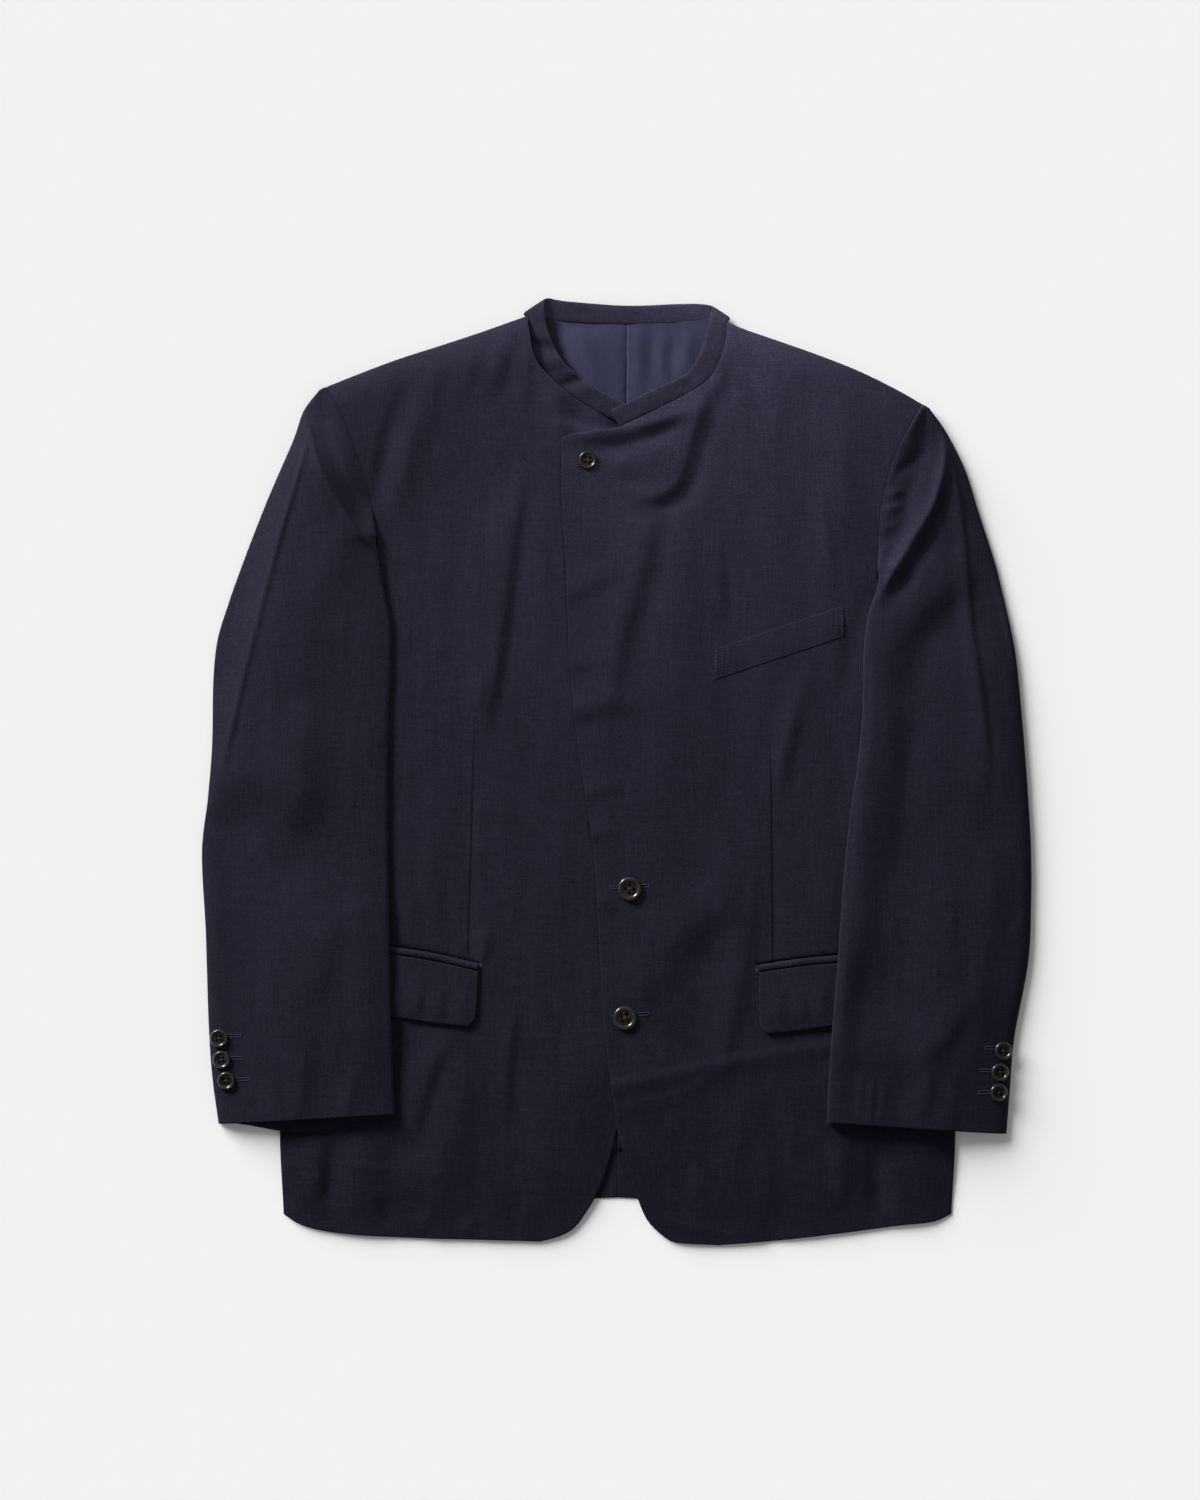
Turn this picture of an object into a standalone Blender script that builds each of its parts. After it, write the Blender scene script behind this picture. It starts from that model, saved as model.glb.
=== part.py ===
"""Collarless jacket laid flat on its back.

A tailored wool jacket with a narrow neck band, buttoned and spread face up on a table.
X runs across the jacket, Y towards the neck and Z up from the table.
Left and right are the wearer's, so the right front lies on the -X side.
Tables and sizes are in millimetres.
"""

import math
from collections import namedtuple
from functools import partial

import bmesh
import bpy
import numpy as np
from mathutils import Matrix, Vector
from mathutils.bvhtree import BVHTree
from mathutils.geometry import interpolate_bezier

MM = 0.001

# Walls of the cloth
WOOL = 1.6
LINING = 1.0
BAND = 2.0
FLAP = 2.0
JET = 1.8

# Gaps between pieces
SEAM_GAP = 0.4
SEAT_GAP = 0.4
ARMHOLE_GAP = 1.2

# Heights of the layers' undersides
LINING_Z = 2.0
SIDE_SEAM_Z = 2.0
FRONT_RISE = 4.4
LAP_LIFT = 3.1
SLEEVE_FLOOR_Z = 0.3
SLEEVE_BODY_Z = 9.0
SLEEVE_CROWN = 3.2
FLAP_BUMP = 2.6

# How far the soft forms reach
SHOULDER_ROUND = 45.0
UNDER_ARM_ROUND = 20.0
UNDER_ARM_SHARE = 0.45
UNDER_ARM_Y = 150.0
HEM_Y = -398.0
HEM_FADE = 150.0
HEM_SHARE = 0.45
LAP_MARGIN = 10.0
LAP_FADE = 18.0
LAP_TOP_Y = 296.0
LAP_TOP_FADE = 26.0
COVER_START = -6.0
COVER_FADE = 46.0
BUMP_FADE = 32.0
SINK_FROM = 0.45
BRIDGE_FROM = 0.4
ROLL_FADE = 30.0
EDGE_FULLNESS = 0.45
DROP_FROM = 0.94
OPEN_ARM_Y = 132.0
OPEN_ARM_FADE = 28.0
BACK_MARGIN = 4.0
BACK_FADE = 24.0
FOLD_ENDS = 0.22

# Spacing of the points
EDGE_STEP = 16.0
FRONT_CELL = (14.0, 28.0)
TRIM_CELL = (14.0, 28.0)
BACK_CELL = (1000.0, 1000.0)
SNAP = 1.2
CORNER_STEP = 4.0
TOP_GRID = (12, 30)
UNDER_GRID = (8, 22)
BAND_GRID = (3, 44)

# Buttons
FRONT_BUTTON = 19.5
SMALL_BUTTON = 15.0
BUTTON_WALL = 3.0
BUTTON_RIM = 2.4
BUTTON_DISH = 0.7
BUTTON_SEGMENTS = 18
BUTTON_FOOT = 0.86
BUTTON_SEAT = 0.8

# Centre back, from the neck to the hem
CENTRE_BACK = ((9.0, 376.5), (0.5, -357.5))
LINING_HEM_Y = -317.0
LINING_INSET = 26.0
LINING_NECK = (7.0, 6.5)
LINING_HEM_DIP = 6.0
BACK_NECK_DROP = 3.0

# Pocket jets
JET_WIDTH = 5.5
JET_GAP = 0.8

Fold = namedtuple("Fold", "path width height")
Cut = namedtuple(
    "Cut", "sign neck shoulder armhole side hem front_curve front_edge lap_top back_armhole crest"
)
SleeveRow = namedtuple("SleeveRow", "seam_x seam_y outer_x outer_y sink under")
BandRow = namedtuple("BandRow", "seam_x seam_y seam_z top_x top_y top_z")
Button = namedtuple("Button", "name x y size panel")
Pocket = namedtuple("Pocket", "top edge low")

# Edges of the right half, each listed from the neck outwards and down, as x, y,
# and the crest from which its sleeve falls away
RIGHT = Cut(
    sign=-1,
    neck=(
        (-1.3, 294.5), (-8, 298), (-25.5, 307), (-42, 318), (-56, 331), (-68, 346), (-72.7, 367),
        (-74.8, 382.5),
    ),
    shoulder=((-74.8, 382.5), (-115, 368.3), (-148, 357.4), (-182, 346.5), (-215.5, 334), (-243, 323)),
    armhole=(
        (-243, 323), (-230, 300), (-218.5, 270), (-208, 238), (-203, 211), (-201, 188),
        (-206, 160), (-226, 128), (-258, 105), (-285, 95),
    ),
    side=((-285, 95), (-277, 0), (-275, -80), (-280, -200), (-282.5, -303), (-279.5, -371.5)),
    hem=((-279.5, -371.5), (-266, -380), (-237, -387), (-182, -391), (-98, -393.5), (-64, -394.5)),
    front_curve=(
        (-64, -394.5), (-47.5, -390), (-35.4, -383), (-25, -369), (-18.3, -358), (-8.8, -335.6), (0.5, -301),
    ),
    front_edge=(
        (0.5, -301), (5, -262), (10.5, -215), (14.7, -140), (19, -69), (26.5, -17), (36, 50),
        (40, 104), (42.4, 171), (45.8, 225), (46, 279),
    ),
    lap_top=((46, 279), (20, 287), (-1.3, 294.5)),
    back_armhole=((-243, 323), (-232, 280), (-228, 230), (-232, 170), (-252, 120), (-285, 95)),
    crest=((-243, 323), (-238, 240), (-252, 170), (-270, 128), (-285, 95)),
)

# Edges of the left half, in the same order
LEFT = Cut(
    sign=1,
    neck=((1.8, 288.2), (41.4, 307), (69.3, 322.3), (79, 330.7), (87.4, 347.3), (91.6, 364), (92.3, 378)),
    shoulder=((92.3, 378), (104, 372.5), (137, 361), (171, 349), (204.5, 335.6), (238, 319), (256, 308.5)),
    armhole=(
        (256, 308.5), (234, 267.7), (222, 224.7), (219, 184.4), (219, 157.5),
        (228, 126), (258, 103), (286, 92),
    ),
    side=((286, 92), (279, 0), (277, -80), (282, -200), (284.3, -303), (281, -371.5)),
    hem=((281, -371.5), (267.5, -377.6), (238, -381), (187.7, -387.7), (137, -393.5), (86, -397.6)),
    front_curve=(
        (86, -397.6), (55.4, -396), (45.8, -394.4), (34, -385.6), (25.4, -376), (18, -359), (12.5, -341),
        (0.5, -301),
    ),
    front_edge=(
        (0.5, -301), (-4.6, -262), (-10.5, -215.5), (-14.7, -140), (-19, -69), (-26.5, -17), (-35.7, 50),
        (-40, 104), (-42.4, 171), (-45.8, 225), (-46.3, 279),
    ),
    lap_top=((-46.3, 279), (-38, 282.7), (-20, 285.4), (1.8, 288.2)),
    back_armhole=((256, 308.5), (246, 270), (242, 225), (244, 165), (258, 118), (286, 92)),
    crest=((256, 308.5), (250, 240), (258, 170), (273, 126), (286, 92)),
)

# Folds of the two fronts, which bend together where they lap
FRONT_FOLDS = (
    Fold(((-84, 227), (-94, 131), (-101, 66)), 17, -2.0),
    Fold(((-104, 232), (-114, 140), (-122, 60)), 20, 2.0),
    Fold(((-94, 366), (-116, 322)), 18, 1.8),
    Fold(((-180, 315), (-186, 250), (-180, 180)), 20, 1.8),
    Fold(((-239, -290), (-243, -375)), 15, -1.4),
    Fold(((-214, -300), (-212, -385)), 16, 1.6),
    Fold(((-146, -241), (-172, -303), (-186, -350)), 18, -1.5),
    Fold(((-118, -230), (-140, -300), (-150, -380)), 18, 1.8),
    Fold(((-84, -206), (-90, -323)), 18, -1.2),
    Fold(((62, 305), (54, 278), (48, 241), (38, 222)), 20, -2.2),
    Fold(((24, 292), (14, 240)), 24, 3.4),
    Fold(((37, 214), (32, 157), (21, 117), (10, 63)), 17, -1.8),
    Fold(((60, 235), (52, 160), (40, 90)), 18, 1.6),
    Fold(((180, 320), (186, 250), (190, 170)), 22, 1.8),
    Fold(((-5, -265), (73, -244), (150, -226)), 16, 2.0),
    Fold(((111, -113), (59, -183)), 22, -1.6),
    Fold(((84, -95), (30, -160)), 20, 1.5),
    Fold(((216, -300), (222, -383)), 18, -1.5),
)

# Rows of each sleeve from the shoulder to the cuff: the armhole seam, then the forearm edge,
# the outer edge, how far the seam edge sinks to its front, and the share of the row the under sleeve takes
RIGHT_SLEEVE = (
    SleeveRow(-245.4, 321.2, -251.5, 317.8, 8.8, 0.5),
    SleeveRow(-231, 299.5, -262.5, 302.5, 5.6, 0.87),
    SleeveRow(-219.2, 270, -271.5, 277.5, 4.6, 0.81),
    SleeveRow(-208.7, 238, -290, 235, 4.2, 0.79),
    SleeveRow(-203.8, 211, -303.5, 201.5, 2.4, 0.77),
    SleeveRow(-201, 188, -316.3, 167.6, 1.0, 0.76),
    SleeveRow(-195.7, 155, -326, 140, 0.0, 0.69),
    SleeveRow(-190, 125, -335, 110, 0.0, 0.88),
    SleeveRow(-189.4, 95, -338.5, 75, 0.0, 1),
    SleeveRow(-191.5, 50, -339.5, 22, 0.0, 1),
    SleeveRow(-192.3, 0, -343, -22, 0.0, 1),
    SleeveRow(-191.6, -65, -348, -68, 0.0, 1),
    SleeveRow(-190.5, -135, -344.8, -135, 0.0, 1),
    SleeveRow(-188.8, -205, -342.4, -210, 0.0, 1),
    SleeveRow(-187.5, -255, -339.4, -255, 0.0, 1),
    SleeveRow(-186, -286.7, -334, -295.3, 0.0, 1),
)
LEFT_SLEEVE = (
    SleeveRow(258.4, 306, 264, 302.5, 8.8, 0.5),
    SleeveRow(244.8, 287, 272.5, 291, 6.0, 0.86),
    SleeveRow(234.6, 267.5, 281, 277, 4.6, 0.79),
    SleeveRow(227.3, 243, 293, 252, 4.6, 0.78),
    SleeveRow(222.5, 224.5, 304, 217, 4.2, 0.785),
    SleeveRow(219.6, 184, 317, 177, 1.6, 0.777),
    SleeveRow(218.6, 157.5, 324.5, 147, 0.4, 0.74),
    SleeveRow(211, 132, 331.5, 117, 0.0, 0.86),
    SleeveRow(207, 103, 336, 90, 0.0, 1),
    SleeveRow(206, 50, 341, 38, 0.0, 1),
    SleeveRow(202, 8, 344.4, -6, 0.0, 1),
    SleeveRow(195, -41, 347.7, -60, 0.0, 1),
    SleeveRow(189, -104, 348, -110, 0.0, 1),
    SleeveRow(185, -160, 345.5, -160, 0.0, 1),
    SleeveRow(180, -221, 334, -222, 0.0, 1),
    SleeveRow(177.5, -262, 330.2, -265, 0.0, 1),
    SleeveRow(176, -293.6, 327.2, -303.6, 0.0, 1),
)
SLEEVE_FOLDS = {
    -1: (
        Fold(((-257, 300), (-256, 257), (-228, 214), (-206, 196)), 16, 5.0),
        Fold(((-271, 268), (-295, 171), (-323, 63), (-334, 10)), 12, 1.8),
        Fold(((-262, -35), (-296, -100)), 24, -1.6),
        Fold(((-215, 60), (-225, -60)), 22, 1.4),
    ),
    1: (
        Fold(((274, 287), (268, 238), (252, 209), (236, 179), (224, 158)), 16, 5.2),
        Fold(((277, 281), (295, 193), (312, 90), (322, 20)), 12, 1.8),
        Fold(((279, 141), (247, 104), (228, 36)), 20, -1.6),
        Fold(((240, -60), (222, -180)), 22, 1.4),
    ),
}
SLEEVE_ROLLS_Y = {-1: 196.0, 1: 168.0}
CUFF_DROP = {-1: 11.0, 1: 0.0}

# The band from its lower front end, round the back of the neck, to its upper front end
NECK_BAND = (
    BandRow(0.5, 296.0, 7.0, 9.5, 306.5, 7.6),
    BandRow(-12.5, 303.2, 7.4, -4.0, 314.0, 9.5),
    BandRow(-24.0, 309.4, 7.4, -15.0, 319.5, 11.5),
    BandRow(-40.5, 320.2, 7.4, -30.0, 330.0, 13.0),
    BandRow(-54.0, 332.2, 7.2, -42.5, 341.0, 13.0),
    BandRow(-65.8, 347.2, 6.8, -51.5, 354.5, 12.5),
    BandRow(-70.6, 367.0, 6.2, -58.5, 372.5, 11.5),
    BandRow(-73.0, 380.5, 5.8, -60.8, 388.0, 9.8),
    BandRow(-75.5, 385.5, 3.7, -58.5, 396.6, 5.2),
    BandRow(-66.0, 383.5, 2.2, -50.0, 395.8, 2.2),
    BandRow(-38.0, 379.5, 2.6, -34.0, 393.8, 1.6),
    BandRow(9.0, 378.0, 2.8, 9.0, 390.8, 1.5),
    BandRow(52.0, 379.0, 2.6, 50.0, 392.2, 1.6),
    BandRow(83.0, 381.5, 2.2, 68.0, 392.5, 2.2),
    BandRow(92.5, 381.8, 3.7, 79.5, 390.0, 5.2),
    BandRow(90.4, 376.6, 5.8, 77.5, 381.0, 9.8),
    BandRow(89.6, 364.5, 6.2, 76.0, 371.5, 11.5),
    BandRow(85.4, 348.2, 6.8, 70.5, 352.0, 12.5),
    BandRow(77.3, 332.4, 7.2, 61.0, 336.0, 13.0),
    BandRow(66.5, 323.4, 7.6, 52.0, 330.0, 13.2),
    BandRow(40.5, 309.4, 9.0, 31.0, 320.0, 13.6),
    BandRow(20.0, 299.6, 10.2, 11.5, 310.6, 13.8),
    BandRow(1.5, 290.8, 11.2, -5.0, 302.2, 13.4),
)

# Trim on the fronts, as x, y
CHEST_WELT = ((82, 103), (190.5, 139.6), (191.5, 113), (82, 76.5))
POCKETS = {
    -1: Pocket(
        top=((-262, -147.3), (-188, -153.3), (-153, -158.8), (-115.8, -167.2)),
        edge=((-115.8, -167.2), (-117.4, -200), (-119, -208), (-125, -213.5)),
        low=((-125, -213.5), (-160, -209.5), (-188, -205), (-262, -198)),
    ),
    1: Pocket(
        top=((262, -156.3), (185, -160.3), (153, -163.3), (119.6, -168.2)),
        edge=((119.6, -168.2), (120, -208), (122, -216), (127, -219.5)),
        low=((127, -219.5), (155, -216.5), (185, -212.5), (262, -207)),
    ),
}

BUTTONS = (
    Button("button_neck", -24, 261, SMALL_BUTTON, "front_left"),
    Button("button_middle", 11, -98, FRONT_BUTTON, "front_left"),
    Button("button_lower", 7, -206, FRONT_BUTTON, "front_left"),
    Button("button_cuff_right_1", -332.5, -223, SMALL_BUTTON, "sleeve_right_top"),
    Button("button_cuff_right_2", -330.5, -241, SMALL_BUTTON, "sleeve_right_top"),
    Button("button_cuff_right_3", -326.5, -258.5, SMALL_BUTTON, "sleeve_right_top"),
    Button("button_cuff_left_1", 323.5, -233.5, SMALL_BUTTON, "sleeve_left_top"),
    Button("button_cuff_left_2", 320.5, -251.5, SMALL_BUTTON, "sleeve_left_top"),
    Button("button_cuff_left_3", 319.5, -268.5, SMALL_BUTTON, "sleeve_left_top"),
)

# Colour, roughness and metallic of each kind of material
WOOL_LOOK = ((0.017, 0.016, 0.028, 1.0), 0.9, 0.0)
LINING_LOOK = ((0.05, 0.05, 0.088, 1.0), 0.45, 0.0)
BUTTON_LOOK = ((0.016, 0.012, 0.012, 1.0), 0.25, 0.0)


def smooth(points, step=EDGE_STEP):
    """Points about a step apart on a smooth curve through the listed ones."""
    knots = [Vector((x, y, 0.0)) for x, y in points]
    last = len(knots) - 1
    line = []
    for i in range(last):
        start, end = knots[i], knots[i + 1]
        chord = (end - start).length
        leave = (end - knots[max(i - 1, 0)]).normalized() * chord / 3
        arrive = (knots[min(i + 2, last)] - start).normalized() * chord / 3
        count = max(2, round(chord / step) + 1)
        line += interpolate_bezier(start, start + leave, end - arrive, end, count)[:-1]
    return line + [knots[-1]]


def closed(*stretches):
    """One outline from stretches that meet end to end."""
    points = []
    for stretch in stretches:
        points += stretch[:-1]
    return points


def soft_step(t):
    """Eased rise from 0 to 1."""
    t = np.clip(t, 0.0, 1.0)
    return t * t * (3.0 - 2.0 * t)


def quarter_round(t):
    """Rise from 0 to 1 along a quarter of a circle."""
    t = 1.0 - np.clip(t, 0.0, 1.0)
    return np.sqrt(1.0 - t * t)


def beside(line, x, y):
    """Distance from a line, and the share of its length where it is nearest."""
    lengths = [(b - a).length for a, b in zip(line, line[1:])]
    best = np.full(np.shape(x), np.inf)
    share = np.zeros(np.shape(x))
    passed = 0.0
    for a, b, length in zip(line, line[1:], lengths):
        t = ((x - a.x) * (b.x - a.x) + (y - a.y) * (b.y - a.y)) / length**2
        t = np.clip(t, 0.0, 1.0)
        gap = np.hypot(x - a.x - t * (b.x - a.x), y - a.y - t * (b.y - a.y))
        share = np.where(gap < best, (passed + t * length) / sum(lengths), share)
        best = np.minimum(best, gap)
        passed += length
    return best, share


def fold_height(folds, x, y):
    """Sum of the soft ridges and troughs at a place."""
    z = np.zeros(np.shape(x))
    for fold in folds:
        gap, share = beside(smooth(fold.path), x, y)
        ends = soft_step(share / FOLD_ENDS) * soft_step((1.0 - share) / FOLD_ENDS)
        z = z + fold.height * ends * np.exp(-((gap / fold.width) ** 2))
    return z


def edge_x(points, y):
    """Where an edge that runs up or down crosses the height y."""
    rows = sorted((p.y, p.x) for p in points)
    return np.interp(y, [row[0] for row in rows], [row[1] for row in rows])


def front_height(cut, x, y):
    """Underside of a front, low along the shoulder and side seams and under the arm."""
    rim = np.minimum(beside(smooth(cut.shoulder), x, y)[0], beside(smooth(cut.side), x, y)[0])
    under_arm = [point for point in smooth(cut.armhole) if point.y < UNDER_ARM_Y]
    hem = soft_step((y - HEM_Y) / HEM_FADE)
    rise = FRONT_RISE * (HEM_SHARE + (1.0 - HEM_SHARE) * hem)
    arm = np.maximum(quarter_round(beside(under_arm, x, y)[0] / UNDER_ARM_ROUND), UNDER_ARM_SHARE)
    inside = np.minimum(quarter_round(rim / SHOULDER_ROUND), arm)
    return SIDE_SEAM_Z + (rise + fold_height(FRONT_FOLDS, x, y)) * inside


def lapped_height(x, y):
    """Underside of the left front, lifted where it lies over the right one."""
    under = edge_x(smooth(RIGHT.front_curve) + smooth(RIGHT.front_edge)[1:], y)
    lap = 1.0 - soft_step((x - under - LAP_MARGIN) / LAP_FADE)
    lap = lap * (1.0 - soft_step((y - LAP_TOP_Y) / LAP_TOP_FADE))
    return front_height(LEFT, x, y) + LAP_LIFT * lap


def right_height(x, y):
    """Underside of the right front."""
    return front_height(RIGHT, x, y)


def sleeve_floor(cut, edge, x, y, open_arm=0.0):
    """What a sleeve lies on: the body as far as an edge, then the back and the table."""
    body = edge_x(smooth(edge) + smooth(cut.side)[1:], y)
    outside = cut.sign * (x - body)
    cover = 1.0 - soft_step((outside - COVER_START) / COVER_FADE)
    cover = cover * (1.0 - open_arm * soft_step((y - OPEN_ARM_Y) / OPEN_ARM_FADE))
    pocket = POCKETS[cut.sign]
    middle = [a.lerp(b, 0.5) for a, b in zip(smooth(pocket.top), reversed(smooth(pocket.low)))]
    bump = 1.0 - soft_step((beside(middle, x, y)[0] - BUMP_FADE) / BUMP_FADE)
    z = SLEEVE_FLOOR_Z + cover * (SLEEVE_BODY_Z - SLEEVE_FLOOR_Z + FLAP_BUMP * bump)
    back = edge_x(smooth(cut.back_armhole) + smooth(cut.side)[1:], y)
    on_back = 1.0 - soft_step((cut.sign * (x - back) - BACK_MARGIN) / BACK_FADE)
    return np.maximum(z, on_back * (WOOL + 2 * SEAT_GAP))


def read_row(table, share):
    """A row of a table read smoothly at a share of its length."""
    rows = np.array(table)
    place = share * (len(rows) - 1)
    i = min(int(place), len(rows) - 2)
    f = place - i
    a, b, c, d = (rows[min(max(k, 0), len(rows) - 1)] for k in (i - 1, i, i + 1, i + 2))
    bend = c - a + f * (2 * a - 5 * b + 4 * c - d + f * (3 * (b - c) + d - a))
    return b + 0.5 * f * bend


def material(name, look):
    """A Principled material of one colour."""
    made = bpy.data.materials.new(name)
    made.use_nodes = True
    shader = made.node_tree.nodes["Principled BSDF"]
    shader.inputs["Base Color"].default_value = look[0]
    shader.inputs["Roughness"].default_value = look[1]
    shader.inputs["Metallic"].default_value = look[2]
    return made


def finish(name, bm, look):
    """The shape as a named object, in metres."""
    bmesh.ops.scale(bm, vec=(MM, MM, MM), verts=bm.verts)
    mesh = bpy.data.meshes.new(name)
    bm.to_mesh(mesh)
    bm.free()
    piece = bpy.data.objects.new(name, mesh)
    mesh.materials.append(material(name, look))
    jacket.objects.link(piece)
    return piece


def thicken(piece, wall, offset=1.0):
    """Give a sheet the wall of its cloth."""
    solid = piece.modifiers.new("wall", "SOLIDIFY")
    solid.thickness = wall * MM
    solid.offset = offset
    solid.use_even_offset = True
    return piece


def face_up(bm):
    """Turn a sheet's faces to look up."""
    bm.normal_update()
    if sum(face.normal.z for face in bm.faces) < 0:
        bmesh.ops.reverse_faces(bm, faces=bm.faces)


def lay_cloth(name, outline, height, wall, cell, look):
    """A panel cut to an outline and laid on a height."""
    bm = bmesh.new()
    bm.faces.new([bm.verts.new(point) for point in outline])
    for axis in (0, 1):
        spans = [point[axis] for point in outline]
        first = math.ceil(min(spans) / cell[axis])
        last = math.floor(max(spans) / cell[axis])
        for k in range(first, last + 1):
            place, across = Vector((0, 0, 0)), Vector((0, 0, 0))
            place[axis] = k * cell[axis]
            across[axis] = 1
            every = bm.verts[:] + bm.edges[:] + bm.faces[:]
            bmesh.ops.bisect_plane(bm, geom=every, dist=SNAP, plane_co=place, plane_no=across)
    x = np.array([vert.co.x for vert in bm.verts])
    y = np.array([vert.co.y for vert in bm.verts])
    for vert, z in zip(bm.verts, height(x, y)):
        vert.co.z = z
    face_up(bm)
    return thicken(finish(name, bm, look), wall)


def level(z):
    """A flat height."""
    return lambda x, y: np.full(np.shape(x), z)


def surface(panel):
    """The top of a finished panel, as its height at a place."""
    seen = panel.evaluated_get(bpy.context.evaluated_depsgraph_get())
    tree = BVHTree.FromObject(panel, bpy.context.evaluated_depsgraph_get())
    top = max(corner[2] for corner in seen.bound_box) + 1.0

    def touch(x, y):
        hit = tree.ray_cast(Vector((x * MM, y * MM, top)), Vector((0, 0, -1)))[0]
        return hit.z / MM

    return touch


def on_top(panel):
    """A height just above a finished panel, at each of many places."""
    touch = surface(panel)
    return lambda xs, ys: np.array([touch(x, y) + SEAT_GAP for x, y in zip(xs, ys)])


def moved(line, across):
    """A stretch moved sideways."""
    return [Vector((point.x + across, point.y, 0.0)) for point in line]


def back_half(cut):
    """Outline of half the back."""
    middle = [Vector((x + cut.sign * SEAM_GAP / 2, y, 0)) for x, y in CENTRE_BACK]
    neck_end = Vector((*cut.shoulder[0], 0)) - Vector((0, BACK_NECK_DROP, 0))
    hem_end = Vector((*cut.side[-1], 0))
    return closed(
        [middle[0], neck_end],
        [neck_end] + smooth(cut.shoulder)[1:],
        smooth(cut.back_armhole),
        smooth(cut.side),
        [hem_end, middle[1]],
        [middle[1], middle[0]],
    )


def lining_half(cut):
    """Outline of half the back lining."""
    middle = [Vector((x + cut.sign * SEAM_GAP / 2, y, 0)) for x, y in CENTRE_BACK]
    foot = Vector((middle[1].x, LINING_HEM_Y, 0))
    drop = Vector((0, SEAM_GAP, 0))
    neck_x, neck_y = cut.shoulder[0]
    tip_x, tip_y = cut.shoulder[-1]
    inward = -cut.sign * LINING_INSET
    armhole = moved(smooth(cut.back_armhole), inward)
    side = moved(smooth(cut.side), inward)
    corner = Vector((tip_x + inward, tip_y - LINING_INSET, 0))
    return closed(
        [middle[0] - drop, Vector((neck_x - cut.sign * LINING_NECK[0], neck_y - LINING_NECK[1], 0)), corner],
        [corner] + [point for point in armhole if point.y < corner.y],
        [armhole[-1]] + [point for point in side[1:] if point.y > LINING_HEM_Y],
        [Vector((side[-1].x, LINING_HEM_Y - LINING_HEM_DIP, 0)), foot],
        [foot, middle[0] - drop],
    )


def front_outline(cut):
    """Outline of a front."""
    return closed(
        smooth(cut.shoulder),
        smooth(cut.armhole),
        smooth(cut.side),
        smooth(cut.hem),
        smooth(cut.front_curve),
        smooth(cut.front_edge),
        smooth(cut.lap_top),
        smooth(cut.neck),
    )


def seam_beside(cut, x, y):
    """Keep a sleeve's edge beside the armhole of its front, down to where it rolls over the front."""
    if y < SLEEVE_ROLLS_Y[cut.sign]:
        return x
    armhole = edge_x(smooth(cut.armhole), y) + cut.sign * ARMHOLE_GAP
    return cut.sign * max(cut.sign * x, cut.sign * armhole)


def flap_outline(pocket):
    """Outline of a pocket flap with one rounded corner."""
    outer = Vector((*pocket.low[-1], 0))
    return closed(smooth(pocket.top), smooth(pocket.edge, CORNER_STEP), smooth(pocket.low)) + [outer]


def jet_outline(pocket):
    """Outline of the narrow strip above a flap."""
    line = smooth(pocket.top)
    lower = [point + Vector((0, JET_GAP, 0)) for point in line]
    upper = [point + Vector((0, JET_GAP + JET_WIDTH, 0)) for point in line]
    return lower + upper[::-1]


def sleeve_top(cut, table, u, v):
    """A place on the underside of a top sleeve, u from the outer edge and v from the shoulder."""
    row = SleeveRow(*read_row(table, v))
    row = row._replace(seam_x=seam_beside(cut, row.seam_x, row.seam_y))
    x = row.outer_x + u * (row.seam_x - row.outer_x)
    y = row.outer_y + u * (row.seam_y - row.outer_y)
    under = WOOL + SEAM_GAP
    low = sleeve_floor(cut, cut.armhole, x, y)
    bridge = soft_step(u / BRIDGE_FROM) * (sleeve_floor(cut, cut.crest, x, y) - low)
    z = low + bridge + under - row.sink * soft_step((u - SINK_FROM) / (1.0 - SINK_FROM))
    side = abs(2.0 * u - 1.0)
    sewn = soft_step((row.seam_y - SLEEVE_ROLLS_Y[cut.sign]) / ROLL_FADE) if u > 0.5 else 0.0
    round_over = (1.0 - sewn) * (1.0 - side**3) ** EDGE_FULLNESS + sewn * (1.0 - side**2)
    folds = fold_height(SLEEVE_FOLDS[cut.sign], x, y)
    return Vector((x, y, z + round_over * (SLEEVE_CROWN + folds)))


def sleeve_under(cut, table, u, v):
    """A place on the underside of an under sleeve."""
    row = SleeveRow(*read_row(table, v))
    share = u * row.under
    drop = CUFF_DROP[cut.sign] * soft_step((v - DROP_FROM) / (1.0 - DROP_FROM)) * math.sin(math.pi * u) ** 2
    x = row.outer_x + share * (row.seam_x - row.outer_x)
    y = row.outer_y + share * (row.seam_y - row.outer_y) - drop
    return Vector((x, y, sleeve_floor(cut, cut.armhole, x, y, open_arm=1.0)))


def loft(name, place, grid, wall, look, offset=1.0):
    """A sheet with columns across and rows along, thickened to its wall."""
    bm = bmesh.new()
    bmesh.ops.create_grid(bm, x_segments=grid[0], y_segments=grid[1], size=0.5)
    for vert in bm.verts:
        across = (1.0 - math.cos((vert.co.x + 0.5) * math.pi)) / 2.0
        vert.co = place(across, 0.5 - vert.co.y)
    face_up(bm)
    return thicken(finish(name, bm, look), wall, offset)


def band_place(u, v):
    """A place on the middle of the neck band, u from the seam to the top edge."""
    row = BandRow(*read_row(NECK_BAND, v))
    seam = Vector((row.seam_x, row.seam_y, row.seam_z))
    return seam.lerp(Vector((row.top_x, row.top_y, row.top_z)), u)


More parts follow.
